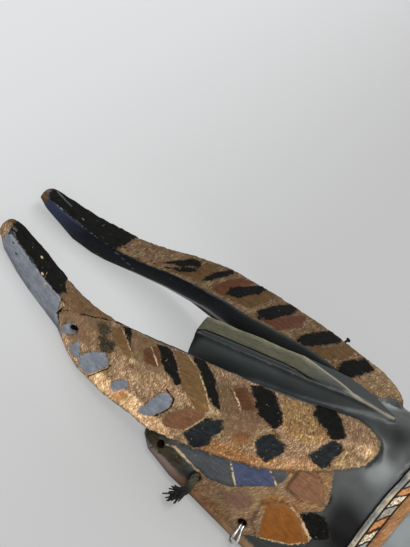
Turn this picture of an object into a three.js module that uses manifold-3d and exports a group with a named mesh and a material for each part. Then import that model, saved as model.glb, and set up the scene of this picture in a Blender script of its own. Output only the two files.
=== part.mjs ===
// Zamble mask: an antelope mask carved from one block of wood, with two long horns, a flat-topped
// crest between them, a hairline band over the forehead and a long muzzle. It lies on its back.
// Millimetres. X runs across the mask, Y from the chin to the horn tips, and Z out through the face.
// The origin is under the flat of the lower jaw, in the mirror plane.
import * as THREE from 'three';
import { mergeVertices } from 'three/addons/utils/BufferGeometryUtils.js';
import Module from 'manifold-3d';

const wasm = await Module();
wasm.setup();

// Driving dimensions
const HORN_TIP_Y = 136;
const HORN_BASE_Y = -84;
const HEAD_TOP_Y = 8;
const CHIN_Y = -322;
const JAW_REST_Y = -290;
const RIM_LIFT = 3.5;
const RIM_BAND = 5;
const WALL = 8;
const TOP_WALL = 13;
const CAVITY_END_Y = -256;
const CREST_END_Y = 23;
const CREST_END_SLOPE = 0.47;
const HAIRLINE_Y = -103.4;
const EYE_Y = -166;
const MOUTH_START_Y = -262;
const CORD_RADIUS = 2.1;
const WIRE_RADIUS = 0.65;
const NAIL_RADIUS = 0.8;

// Head, along Y: half width at the rim, height of the middle line, squareness of the section
const HEAD = track([
  [8, 32, 20, 2.0],
  [5, 46, 28, 2.0],
  [0, 54.5, 35, 2.0],
  [-8, 59, 42, 2.0],
  [-20, 61, 51, 2.0],
  [-45, 61, 66.5, 2.0],
  [-75, 60, 85, 2.0],
  [-105, 57.5, 99.5, 2.0],
  [-130, 54, 105, 2.0],
  [-150, 50, 98, 2.1],
  [-170, 46, 76, 2.2],
  [-190, 42, 57, 2.4],
  [-230, 35, 46, 2.6],
  [-270, 28, 40, 2.8],
  [-305, 23, 34, 2.8],
  [-322, 17, 25, 2.4],
]);

// Muzzle, along Y: half width and height of the nose line
const MUZZLE_FLOOR = 20;
const MUZZLE_SQUARE = 3.2;
const MUZZLE = track([
  [-110, 20, 86],
  [-140, 26, 99],
  [-175, 25, 95],
  [-220, 23, 88],
  [-270, 21.5, 79],
  [-300, 21, 72],
  [-316, 19.5, 66],
  [-322, 16, 60],
]);

// Crest, along Y: half width and height of its flat top
const CREST = track([
  [CREST_END_Y, 9.4, 43.6],
  [-36, 9, 75.8],
  [-60, 6.5, 88],
  [-84, 1, 93],
]);

// Horn, along Y: inner edge and outer edge of the flat front (x, z), outer edge of the underside
// (x, z), height of the underside's inner edge
const HORN = track([
  [136, 16.5, 15, 27, 14.5, 26, 3.4, 7],
  [115, 19.2, 15.2, 33.7, 16, 32.2, 0.8, 3.5],
  [95, 24.2, 16.2, 40.6, 18.4, 36.5, 0.2, 1.5],
  [72, 28.9, 20.4, 47.4, 24, 41.6, 0, 8],
  [50, 31.2, 29.9, 55.7, 33.9, 50.8, 2.4, 15.5],
  [25, 28.5, 41.6, 60.4, 44.6, 59, 7.6, 27],
  [5, 26.9, 50.4, 61, 51, 59.8, 11.5, 32],
  [-12, 25.5, 58.6, 59.2, 57.2, 56.4, 20.5, 38],
  [-30, 23, 67.2, 54.6, 65.4, 53.8, 30, 46],
  [-51, 17.3, 76, 45.3, 75.4, 49.6, 44, 56],
  [-72, 12.6, 84.6, 34.6, 86.2, 41.4, 62, 66],
  [-86, 17, 87.4, 28, 88, 32.5, 76, 74],
]);

// Ear in low relief below the horn: corners (y, z) on the temple, and how far each stands out
const EAR = [
  [-64, 32, 0.6], [-70, 41, 0.8], [-77, 43.5, 1.6], [-86, 41, 2.4], [-95.5, 37.6, 3],
  [-94, 30, 3.2], [-90, 24, 3.2], [-84, 19, 3], [-77.5, 16, 2.4], [-68, 21, 1],
];
const EAR_LOBE = [
  [-64.5, 56.5, 0.6], [-75, 61, 1.2], [-85, 60, 1.8], [-86, 55, 1.8], [-76, 48, 1.4], [-66, 46.5, 0.6],
];

// Rim holes: distance along Y, the first three as the photograph shows them, and their radius. The
// top one sits lower on the rim than the others.
const HOLES = [[-6, 2.1, 8.3], [-31, 2.7], [-66, 2.5], [-105, 2.3], [-145, 2.3], [-185, 2.3], [-225, 2.3]];
const HOLE_HEIGHT = 11.5;

// Helpers

// A function of Y that runs smoothly through the rows and gives the values after the first column
function track(rows) {
  const sorted = [...rows].sort((a, b) => a[0] - b[0]);
  const places = sorted.map((row) => row[0]);
  const size = rows[0].length - 1;
  const values = sorted.flatMap((row) => row.slice(1));
  const curve = new THREE.CubicInterpolant(places, values, size, new Float64Array(size));
  return (y) => [...curve.evaluate(y)];
}

function range(count, make) {
  return Array.from({ length: count }, (_, index) => make(index));
}

function between(from, to, count) {
  return range(count, (i) => from + (to - from) * i / (count - 1));
}

function vec(x, y, z) {
  return new THREE.Vector3(x, y, z);
}

const SIDES = [-1, 1];
const { smoothstep, lerp } = THREE.MathUtils;

// A closed body through rings that all have the same number of points, with a flat fan at each end
function loft(rings) {
  const sides = rings[0].length;
  const points = rings.flat();
  const faces = [];
  for (let ring = 0; ring + 1 < rings.length; ring += 1) {
    for (let i = 0; i < sides; i += 1) {
      const a = ring * sides + i;
      const b = ring * sides + (i + 1) % sides;
      faces.push(a, b, b + sides, a, b + sides, a + sides);
    }
  }
  const last = (rings.length - 1) * sides;
  const cap = points.length;
  points.push(middle(rings[0]), middle(rings.at(-1)));
  for (let i = 0; i < sides; i += 1) {
    const next = (i + 1) % sides;
    faces.push(cap, next, i);
    faces.push(cap + 1, last + i, last + next);
  }
  const geometry = new THREE.BufferGeometry();
  const numbers = points.flatMap((p) => [p.x, p.y, p.z]);
  geometry.setAttribute('position', new THREE.Float32BufferAttribute(numbers, 3));
  geometry.setIndex(faces);
  return geometry;
}

function middle(ring) {
  const sum = ring.reduce((total, p) => total.add(p), vec(0, 0, 0));
  return sum.divideScalar(ring.length);
}

// A solid from a closed geometry, turned the right way out if its rings ran the other way
function solid(geometry) {
  const bare = geometry.clone();
  bare.deleteAttribute('normal');
  bare.deleteAttribute('uv');
  const merged = mergeVertices(bare, 1e-4);
  const vertProperties = new Float32Array(merged.attributes.position.array);
  const triVerts = new Uint32Array(merged.index.array);
  if (volume(vertProperties, triVerts) < 0) triVerts.reverse();
  return new wasm.Manifold(new wasm.Mesh({ numProp: 3, vertProperties, triVerts }));
}

function volume(xyz, corners) {
  const p = (i) => vec(...xyz.subarray(3 * corners[i], 3 * corners[i] + 3));
  let total = 0;
  for (let i = 0; i < corners.length; i += 3) total += p(i).dot(p(i + 1).cross(p(i + 2))) / 6;
  return total;
}

function geometryOf(body) {
  const mesh = body.getMesh();
  const geometry = new THREE.BufferGeometry();
  geometry.setAttribute('position', new THREE.Float32BufferAttribute(mesh.vertProperties, 3));
  geometry.setIndex(new THREE.BufferAttribute(mesh.triVerts, 1));
  geometry.computeVertexNormals();
  return geometry;
}

function join(bodies) {
  return bodies.reduce((whole, body) => whole.add(body));
}

function cut(whole, bodies) {
  return bodies.reduce((rest, body) => rest.subtract(body), whole);
}

// A round bar along a smooth line through the points
function bar(points, radius, steps, sides = 8) {
  const section = new THREE.Shape(range(sides, (i) => {
    const angle = 2 * Math.PI * i / sides;
    return new THREE.Vector2(radius * Math.cos(angle), radius * Math.sin(angle));
  }));
  const extrudePath = new THREE.CatmullRomCurve3(points);
  return solid(new THREE.ExtrudeGeometry(section, { steps, bevelEnabled: false, extrudePath }));
}

function ball(centre, radius) {
  const sphere = new THREE.SphereGeometry(radius, 8, 5);
  sphere.translate(centre.x, centre.y, centre.z);
  return solid(sphere);
}

// Half of a squared-off ring over the line from -x to +x, for a section of the head or the muzzle
function archSection(y, halfWidth, foot, height, square, steps) {
  return between(0, Math.PI, steps).map((angle) => {
    const c = Math.cos(angle);
    const x = halfWidth * Math.sign(c) * Math.abs(c) ** (2 / square);
    return vec(x, y, foot + (height - foot) * Math.max(0, Math.sin(angle)) ** (2 / square));
  });
}

// Head

function rimHeight(y) {
  return RIM_LIFT * smoothstep(y, -150, -70);
}

// A point of the head's outside: turn is 0 at the +X rim, a quarter at the middle line, a half at -X
function headPoint(y, turn, lift = 0) {
  const [halfWidth, height, square] = HEAD(y);
  const c = Math.cos(2 * Math.PI * turn);
  const s = Math.max(0, Math.sin(2 * Math.PI * turn));
  const foot = rimHeight(y) + RIM_BAND;
  const x = (halfWidth + lift) * Math.sign(c) * Math.abs(c) ** (2 / square);
  return vec(x, y, foot + (height - foot + lift) * s ** (2 / square));
}

// How far the head's side stands out at a height above the rim
function headX(y, z) {
  const [halfWidth, height, square] = HEAD(y);
  const foot = rimHeight(y) + RIM_BAND;
  const rise = Math.max(0, (z - foot) / (height - foot));
  return halfWidth * (1 - rise ** square) ** (1 / square);
}

function headSection(y) {
  const [halfWidth, height, square] = HEAD(y);
  const arch = archSection(y, halfWidth, rimHeight(y) + RIM_BAND, height, square, 25);
  return [...arch, vec(-halfWidth, y, rimHeight(y)), vec(halfWidth, y, rimHeight(y))];
}

function headOutside() {
  const places = [8, 6.5, 4, 1, -3, ...between(-8, CHIN_Y + 12, 29), CHIN_Y + 5, CHIN_Y];
  return solid(loft(places.map(headSection)));
}

function muzzle() {
  const places = [...between(-110, -300, 13), -310, -317, CHIN_Y];
  return solid(loft(places.map((y) => {
    const [halfWidth, height] = MUZZLE(y);
    return archSection(y, halfWidth, MUZZLE_FLOOR, height, MUZZLE_SQUARE, 13);
  })));
}

// The hollow that takes the wearer's face, open below the rim, and its deeper part behind the muzzle
function hollow(places, size, square) {
  return solid(loft(places.map((y) => {
    const [halfWidth, height] = size(y);
    const arch = archSection(y, halfWidth, RIM_LIFT, height, square, 15);
    return [...arch, vec(-halfWidth, y, -5), vec(halfWidth, y, -5)];
  })));
}

function faceHollow() {
  const start = HEAD_TOP_Y - TOP_WALL;
  const places = [start, start - 3, start - 8, start - 16, ...between(start - 26, CAVITY_END_Y, 13)];
  return hollow(places, (y) => {
    const [halfWidth, height] = HEAD(y);
    const depth = Math.sqrt(smoothstep(start - y, -1, 34));
    return [halfWidth - WALL, lerp(12, height - 1.7 * WALL, depth)];
  }, 2.2);
}

function muzzleHollow() {
  return hollow(between(-112, CAVITY_END_Y + 6, 9), (y) => {
    const [halfWidth, height] = MUZZLE(y);
    return [halfWidth - 9, height - 1.8 * WALL];
  }, 3);
}

function rimHoles() {
  return HOLES.flatMap(([y, radius, height = HOLE_HEIGHT]) => SIDES.map((side) => {
    const drill = new THREE.CylinderGeometry(radius, radius, 30, 8);
    drill.rotateZ(Math.PI / 2);
    drill.translate(side * HEAD(y)[0], y, rimHeight(y) + height);
    return solid(drill);
  }));
}

// Crest

// The end face leans back towards the head, which the factor lean fades out further down the crest
function crestSection(y) {
  const [halfWidth, height] = CREST(y);
  const foot = 0.35 * height;
  const lean = CREST_END_SLOPE * smoothstep(y, -20, CREST_END_Y);
  const back = y - lean * (height - foot);
  const edge = Math.min(1.2, halfWidth / 2);
  return [
    vec(halfWidth + 2, back, foot),
    vec(halfWidth, y - lean * edge, height - edge),
    vec(halfWidth - edge, y, height),
    vec(edge - halfWidth, y, height),
    vec(-halfWidth, y - lean * edge, height - edge),
    vec(-halfWidth - 2, back, foot),
  ];
}

function crest() {
  return solid(loft(between(CREST_END_Y, -84, 15).map(crestSection)));
}

// Horns

// A side of the horn's section, from one corner towards the next, swelling in the middle
function hornSide(from, to, steps, swell) {
  const out = vec(to.z - from.z, 0, from.x - to.x).normalize();
  return range(steps, (i) => {
    const t = i / steps;
    return from.clone().lerp(to, t).addScaledVector(out, swell * 4 * t * (1 - t));
  });
}

function hornSection(y) {
  const [innerX, innerZ, outerX, outerZ, lowX, lowZ, innerLowZ] = HORN(y);
  const inner = vec(innerX, y, innerZ);
  const outer = vec(outerX, y, outerZ);
  const width = outerX - innerX;
  const outerLow = vec(lowX, y, lowZ);
  const innerLow = vec(innerX + 0.2 * width, y, innerLowZ);
  return [
    ...hornSide(outer, inner, 4, 0.03 * width),
    ...hornSide(inner, innerLow, 3, 0.03 * width),
    ...hornSide(innerLow, outerLow, 3, 0.02 * width),
    ...hornSide(outerLow, outer, 4, 0.05 * width),
  ];
}

// The rounded end of a horn: its section drawn in towards its middle by the given share
function endSection(y, from, share) {
  const ring = hornSection(from);
  const centre = middle(ring);
  return ring.map((p) => {
    const q = p.clone().lerp(centre, share);
    q.y = y;
    return q;
  });
}

function horn(side) {
  const rings = between(HORN_BASE_Y, HORN_TIP_Y - 5, 30).map(hornSection);
  rings.unshift(endSection(HORN_BASE_Y - 4, HORN_BASE_Y, 0.3));
  rings.push(endSection(HORN_TIP_Y - 2, HORN_TIP_Y - 3, 0.12));
  rings.push(endSection(HORN_TIP_Y, HORN_TIP_Y - 3, 0.42));
  return solid(loft(rings.map((ring) => ring.map((p) => vec(side * p.x, p.y, Math.max(0, p.z))))));
}

// Relief on the head

// A raised band that follows the surface from one temple to the other
function hairline() {
  const rings = between(0.06, 0.44, 21).map((turn) => {
    const off = Math.max(0, (Math.abs(turn - 0.25) - 0.1) / 0.075);
    const y = HAIRLINE_Y - 1.5 - 6.7 * off ** 1.6;
    return [
      headPoint(y, turn, -3),
      headPoint(y, turn, 1),
      headPoint(y - 1, turn, 1.5),
      headPoint(y - 7, turn, 1.5),
      headPoint(y - 8, turn, -3),
    ];
  });
  return solid(loft(rings));
}

// A low plate on the temple with the given corners
function plate(corners, side) {
  const ring = (depth) => corners.map(([y, z, lift]) => {
    return vec(side * (headX(y, z) + (depth || lift)), y, z);
  });
  return solid(loft([ring(-6), ring(0)]));
}

// A frame of the head's surface, with X along the turn, Y towards the crown and Z outwards
function surfaceFrame(y, turn) {
  const point = headPoint(y, turn);
  const along = headPoint(y, turn + 0.01).sub(headPoint(y, turn - 0.01)).normalize();
  const up = headPoint(y + 1, turn).sub(headPoint(y - 1, turn)).normalize();
  const out = along.clone().cross(up).normalize();
  const outwards = out.z < 0 ? out.negate() : out;
  const across = up.clone().cross(outwards).normalize();
  return new THREE.Matrix4().makeBasis(across, up, outwards).setPosition(point);
}

// The half-closed eye: a slit through the wall between two lids, under a brow
const EYE_TURN = { [-1]: 0.375, [1]: 0.125 };

function eyeSlit(side) {
  const outline = new THREE.Shape();
  outline.absellipse(0, 0, 14, 1.9, 0, 2 * Math.PI, false, side * 0.45);
  const cutter = new THREE.ExtrudeGeometry(outline, { depth: 60, bevelEnabled: false, curveSegments: 8 });
  cutter.translate(0, 0, -45);
  cutter.applyMatrix4(surfaceFrame(EYE_Y, EYE_TURN[side]));
  return solid(cutter);
}

function lid(side, rise, radius) {
  const frame = surfaceFrame(EYE_Y, EYE_TURN[side]);
  const points = between(-17, 17, 5).map((x) => {
    const y = rise * (1 - (x / 17) ** 2);
    const turned = vec(x, y, 0).applyAxisAngle(vec(0, 0, 1), side * 0.45);
    return turned.setZ(0.4 - 0.012 * x * x).applyMatrix4(frame);
  });
  return bar(points, radius, 12, 6);
}

function brow(side) {
  const points = [[0.2, -151], [0.17, -144], [0.13, -143], [0.09, -149], [0.06, -160]].map(([turn, y]) => {
    return headPoint(y, side > 0 ? turn : 0.5 - turn, 0.5);
  });
  return bar(points, 4.2, 16, 8);
}

// Mouth: a wedge cut through both jaws, with pointed teeth along its edges

const MOUTH_LENGTH = CHIN_Y - MOUTH_START_Y;
const MOUTH_Z = 35;

function mouthEdge(y) {
  const open = (y - MOUTH_START_Y) / MOUTH_LENGTH;
  return [MOUTH_Z - 2 - 8 * open, MOUTH_Z + 2 + 5 * open];
}

function mouth() {
  const front = CHIN_Y - 6;
  const [lowBack, highBack] = mouthEdge(MOUTH_START_Y);
  const [lowFront, highFront] = mouthEdge(front);
  const profile = new THREE.Shape([
    new THREE.Vector2(MOUTH_START_Y, lowBack),
    new THREE.Vector2(MOUTH_START_Y, highBack),
    new THREE.Vector2(front, highFront),
    new THREE.Vector2(front, lowFront),
  ]);
  const wedge = new THREE.ExtrudeGeometry(profile, { depth: 90, bevelEnabled: false });
  wedge.translate(0, 0, -45);
  wedge.applyMatrix4(new THREE.Matrix4().makeBasis(vec(0, 1, 0), vec(0, 0, 1), vec(1, 0, 0)));
  return solid(wedge);
}

function tooth(x, y, upper) {
  const [low, high] = mouthEdge(y);
  const tall = 0.42 * (high - low);
  const cone = new THREE.ConeGeometry(2.6, tall + 2, 4);
  if (upper) cone.rotateX(-Math.PI / 2);
  else cone.rotateX(Math.PI / 2);
  cone.translate(x, y, upper ? high + 1 - tall / 2 : low - 1 + tall / 2);
  return solid(cone);
}

function teeth() {
  const alongSides = between(MOUTH_START_Y - 12, CHIN_Y + 10, 7).flatMap((y) => SIDES.flatMap((side) => {
    const x = side * (Math.min(HEAD(y)[0], MUZZLE(y)[0]) - 3.4);
    return [tooth(x, y, true), tooth(x, y, false)];
  }));
  const front = between(-8, 8, 4).flatMap((x) => [tooth(x, CHIN_Y + 4, true), tooth(x, CHIN_Y + 4, false)]);
  return [...alongSides, ...front];
}

function nostrils() {
  return SIDES.map((side) => {
    const pit = new THREE.ConeGeometry(3.2, 12, 8);
    pit.rotateX(-Math.PI / 2 - 0.5);
    pit.translate(side * 9, -311, 69);
    return solid(pit);
  });
}

function maskBody() {
  const head = join([headOutside(), muzzle(), crest(), hairline(), ...SIDES.map(horn)]);
  const relief = SIDES.flatMap((side) => [
    plate(EAR, side), plate(EAR_LOBE, side), brow(side), lid(side, 6, 2.3), lid(side, -4, 1.9),
  ]);
  const cutters = [faceHollow(), muzzleHollow(), mouth(), ...rimHoles(), ...SIDES.map(eyeSlit), ...nostrils()];
  return join([cut(join([head, ...relief]), cutters), ...teeth()]);
}

// Fittings

// A short end of plant-fibre cord through the second rim hole, knotted inside, frayed to a tuft outside
function cordTie() {
  const route = [
    vec(-45, -30, 13), vec(-51, -31, 15), vec(-57, -31, 15), vec(-63.5, -31, 14.8),
    vec(-65.6, -32.2, 10.5), vec(-65.8, -33, 5.6), vec(-67.5, -32.2, 3.4), vec(-70, -30.6, 3.4),
  ];
  const tuft = bar([vec(-68.5, -31.5, 3.6), vec(-71, -29.8, 3.6), vec(-74, -28, 3.6)], 2.8, 4);
  return join([bar(route, CORD_RADIUS, 16), ball(vec(-45, -30, 13), 4), tuft]);
}

// A piece of bright wire bent round the rim through the third hole, with both ends left outside
function wireLoop() {
  const route = [
    vec(-65, -68.6, 6), vec(-64.6, -67.2, 10.6), vec(-62.5, -66.3, 14), vec(-58, -66, 15),
    vec(-51, -66, 14), vec(-47.5, -66.2, 9), vec(-49.5, -67, 3.2), vec(-54, -68.4, 1.5),
    vec(-60, -69.6, 1.5), vec(-63.6, -71, 3), vec(-64.6, -72.6, 6.2),
  ];
  return bar(route, WIRE_RADIUS, 30, 6);
}

// A small bent nail in the outer side of the far horn
const NAIL_FOOT = vec(46.5, -44, 68.2);
const NAIL_HEAD = vec(54, -46, 72.6);

function hornNail(radius, withHead) {
  const bend = NAIL_FOOT.clone().lerp(NAIL_HEAD, 0.6).add(vec(0, 0, -0.8));
  const shank = bar([NAIL_FOOT, bend, NAIL_HEAD], radius, 5, 6);
  return withHead ? join([shank, ball(NAIL_HEAD, 1.5)]) : shank;
}

// The object

const group = new THREE.Group();
group.position.y = -JAW_REST_Y;

function addPiece(name, body, material) {
  const mesh = new THREE.Mesh(geometryOf(body), material);
  mesh.name = name;
  group.add(mesh);
}

const wood = new THREE.MeshStandardMaterial({ color: 0x2e2f31, roughness: 0.45 });
const fibre = new THREE.MeshStandardMaterial({ color: 0x4a4632, roughness: 0.95 });
const brightWire = new THREE.MeshStandardMaterial({ color: 0xc9ccd0, roughness: 0.25, metalness: 1 });
const iron = new THREE.MeshStandardMaterial({ color: 0x1d1d1e, roughness: 0.6, metalness: 0.8 });

addPiece('mask', cut(maskBody(), [hornNail(NAIL_RADIUS + 0.35, false)]), wood);
addPiece('cord_tie', cordTie(), fibre);
addPiece('wire_loop', wireLoop(), brightWire);
addPiece('horn_nail', hornNail(NAIL_RADIUS, true), iron);

export default group;
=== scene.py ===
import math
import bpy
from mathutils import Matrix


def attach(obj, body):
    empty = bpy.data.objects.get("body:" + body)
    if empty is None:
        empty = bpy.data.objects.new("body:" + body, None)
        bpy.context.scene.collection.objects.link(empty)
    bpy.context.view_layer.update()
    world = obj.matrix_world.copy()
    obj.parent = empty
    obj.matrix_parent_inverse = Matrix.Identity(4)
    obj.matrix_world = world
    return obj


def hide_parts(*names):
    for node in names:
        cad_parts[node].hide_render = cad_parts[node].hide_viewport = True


bl_info = {
    "name": "Carved Antelope Mask",
    "version": (1, 0, 0),
    "blender": (4, 5, 0),
    "location": "View3D > Sidebar > Antelope Mask",
    "description": "Dresses the solids of a carved antelope mask with worn paint, chisel work and ties",
    "category": "Object",
}

import bmesh
import bpy
import numpy as np
from bpy.props import FloatProperty, FloatVectorProperty, IntProperty, PointerProperty
from mathutils import Matrix, Vector, kdtree

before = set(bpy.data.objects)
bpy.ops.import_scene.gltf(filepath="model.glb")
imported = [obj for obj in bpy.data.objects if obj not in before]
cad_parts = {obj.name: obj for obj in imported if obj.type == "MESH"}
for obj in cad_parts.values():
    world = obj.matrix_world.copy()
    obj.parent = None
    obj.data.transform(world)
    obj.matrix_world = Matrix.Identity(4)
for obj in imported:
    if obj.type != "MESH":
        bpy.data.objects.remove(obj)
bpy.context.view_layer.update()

MM = 0.001
ORIGIN_Y = 290.0
SEED = 11

# The carving's own sections, as the solids have them, in millimetres. Y runs from the chin to the
# horn tips and is 0 at the top of the head.

# Horn, along Y: inner and outer edge of the flat front (x, z), low outer edge (x, z), low inner z
HORN = [
    (136, 16.5, 15, 27, 14.5, 26, 3.4, 7),
    (115, 19.2, 15.2, 33.7, 16, 32.2, 0.8, 3.5),
    (95, 24.2, 16.2, 40.6, 18.4, 36.5, 0.2, 1.5),
    (72, 28.9, 20.4, 47.4, 24, 41.6, 0, 8),
    (50, 31.2, 29.9, 55.7, 33.9, 50.8, 2.4, 15.5),
    (25, 28.5, 41.6, 60.4, 44.6, 59, 7.6, 27),
    (5, 26.9, 50.4, 61, 51, 59.8, 11.5, 32),
    (-12, 25.5, 58.6, 59.2, 57.2, 56.4, 20.5, 38),
    (-30, 23, 67.2, 54.6, 65.4, 53.8, 30, 46),
    (-51, 17.3, 76, 45.3, 75.4, 49.6, 44, 56),
    (-72, 12.6, 84.6, 34.6, 86.2, 41.4, 62, 66),
    (-86, 17, 87.4, 28, 88, 32.5, 76, 74),
]
LOW_INNER_SHARE = 0.2

# How much further than the solid's edges the horns reach, as the near one shows in the photograph: along
# Y, inwards at the inner edge, and outwards at the low outer edge
INNER_SWELL = [(136, 0.6), (125, 1.4), (115, 2.2), (95, 2.8), (72, 1.5), (50, 0)]
OUTER_SWELL = [(80, 0), (66, 3), (50, 2.4), (38, 0), (28, -2.2), (18, -4), (8, -2.5), (-2, -0.8), (-15, 0)]
SWELL_START_Y = -16
HORN_TIP_Y, HORN_ROOT_Y = 136, -88
TIP_STRETCH = (0, 2.0, 0.9)
CORNER_STRETCH = 1.8

# Head, along Y: half width, height and squareness of the arch, which stands on the rim
HEAD = [
    (8, 32, 20, 2.0),
    (5, 46, 28, 2.0),
    (0, 54.5, 35, 2.0),
    (-8, 59, 42, 2.0),
    (-20, 61, 51, 2.0),
    (-45, 61, 66.5, 2.0),
    (-75, 60, 85, 2.0),
    (-105, 57.5, 99.5, 2.0),
    (-130, 54, 105, 2.0),
    (-150, 50, 98, 2.1),
    (-170, 46, 76, 2.2),
    (-190, 42, 57, 2.4),
    (-230, 35, 46, 2.6),
    (-270, 28, 40, 2.8),
    (-305, 23, 34, 2.8),
    (-322, 17, 25, 2.4),
]
RIM_LIFT = 3.5
RIM_BAND = 5.0

# Crest, along Y: half width and height of its top
CREST = [(23, 9.4, 43.6), (-36, 9, 75.8), (-60, 6.5, 88), (-84, 1, 93)]
CREST_END_Y, CREST_FOOT_Y = 23, -84

# How far out of the head's arch its skin starts, and what stands on it
SKIN, ABOVE_HEAD = 0.93, 1.015

# Lines along the crest's top: place along Y, with how far the groove lies in from the near edge, and
# with the x of the pale line on the far side
CREST_GROOVE = [(23, 1.2), (19, 4.6), (0, 5), (-22, 4.6), (-29, 3.4), (-35, 1.4), (-60, 0.8)]
CREST_LINE = [
    (23, 9.2), (-22, 9), (-28, 8.4), (-33, 6), (-42, 2), (-52, -2.7), (-58, -5.4), (-64, -5.7), (-76, -3.1),
    (-84, -1),
]

NEAR, FAR = -1, 1

# Paint and chisel work on the horns. A corner is (y, u): u runs from 0 on the outer ridge to 1 on the
# inner edge of the front, and from 0 to -1 down the outer side.
TIP_END = [(144, -1.3), (144, 2.2), (134.5, 2.2), (133.5, 1), (132.5, .3), (131.5, 0), (130.5, -.5),
           (130, -1.3)]
FAR_TIP_END = [(144, -1.3), (144, 3), (131.5, 3), (132, 1.5), (132.5, 1), (134, .8), (136, .3), (136, -1.3)]
NEAR_HORN = {
    "crust": [[
        (92, 1), (88, .36), (87, .02), (85, -.15), (82, -.49), (76, -.82), (70, -1), (65, -1.4),
        (-20, -1.4), (-60, -1.6), (-84, -1.4), (-86, -.51), (-86, .65), (-81, 1.1), (-73, 1.02), (0, 1),
        (60, 1),
    ], TIP_END],
    "amber": [
        [(56, .55), (52.4, .77), (49.5, .59), (45, .33), (40.8, .14), (37.8, 0), (40, -.05), (44, .02),
         (49, .12), (53, .32)],
        [(24, .86), (17, .91), (9, .62), (1, .31), (-8, -.07), (-5, -.15), (3, -.05), (12, .15)],
    ],
    "russet": [
        [(-9, .55), (-15, .76), (-25, .3), (-19, .22)],
        [(36.3, .43), (34.6, .6), (29.5, .34), (26.2, .2), (28.8, .14), (32.3, .14)],
        [(34, .66), (31.4, .74), (26.2, .32), (25.6, .22), (30.2, .42)],
    ],
    "rose": [[(3, -.67), (5, -.47), (1, -.21), (-6, -.09), (-9, -.23), (-8, -.63), (0, -.73)]],
    "black": [
        [(131.5, .06), (133, .4), (134.5, 2.2), (110, 2.2), (92, 1.2), (92, .9), (90, .6), (86, .36),
         (88, .12), (88, .04)],
        [(52, .86), (49, .98), (46, .72), (45.2, .52), (42, .3), (40, .2), (45, .4), (48, .56)],
        [(33, .83), (27, .9), (20, .52), (12, .14), (14, .07), (21, .21), (27, .38)],
        [(15, .95), (9, .97), (1, .69), (-7, .31), (-11, .04), (-7, .09), (1, .3)],
        [(-16, .86), (-21, .94), (-27, .91), (-34, .52), (-39, .17), (-37, -.02), (-33, .11), (-27, .22),
         (-22, .51)],
        [(-47, 1.2), (-56, 1.15), (-62, .65), (-67, .19), (-66, .02), (-62, .01), (-56, .33), (-49, .62)],
    ],
    "coal": [
        [(-9, -.72), (-9, -.2), (-13, -.19), (-16, -.15), (-20, -.32), (-20, -.54), (-22, -.8),
         (-20, -.96), (-16, -.96)],
        [(-36, -.38), (-35, -.27), (-38, -.12), (-37, -.03), (-40, -.1), (-44, -.23), (-48, -.32),
         (-50, -.42), (-50, -.7), (-49, -.84), (-46, -.75), (-43, -.7), (-42, -.62), (-40, -.53)],
        [(-60, -.48), (-62, -.28), (-62, -.06), (-67, -.09), (-71, -.3), (-71, -.56), (-74, -.85),
         (-71, -.85), (-66, -.69)],
    ],
    "moss": [
        [(62.6, .29), (61.6, .53), (58.1, .7), (54.8, .4), (55.7, .2), (59, .15)],
        [(57.5, -.03), (55.4, .12), (51, .12), (48.3, .1), (46.7, -.09), (48.4, -.2), (51.2, -.27),
         (54.5, -.3)],
    ],
    "steel": [
        [(132, -.03), (131, -1.1), (68, -1.1), (70, -1), (76, -.82), (82, -.49), (85, -.15), (87, 0)],
        [(55.3, -.9), (57.4, -.68), (54.4, -.41), (49.5, -.26), (45.9, -.27), (43.6, -.4), (44.5, -.6),
         (45.7, -.76), (49.2, -.88)],
        [(65.4, -.74), (63.1, -.48), (59, -.62), (57, -.7), (58, -.86), (61.5, -.92)],
        [(34, -.77), (36, -.63), (33, -.45), (30, -.44), (29, -.56), (31, -.79)],
        [(14.7, -.85), (15.8, -.7), (15.6, -.45), (15.5, -.27), (14, -.16), (9, -.22), (6.6, -.38),
         (7.3, -.53), (8.8, -.71)],
        [(75.8, -.65), (74.2, -.44), (71.5, -.28), (69.8, -.26), (70, -.5), (67.4, -.4), (67.2, -.46),
         (70.2, -.64), (73.2, -.76)],
    ],
}
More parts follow.
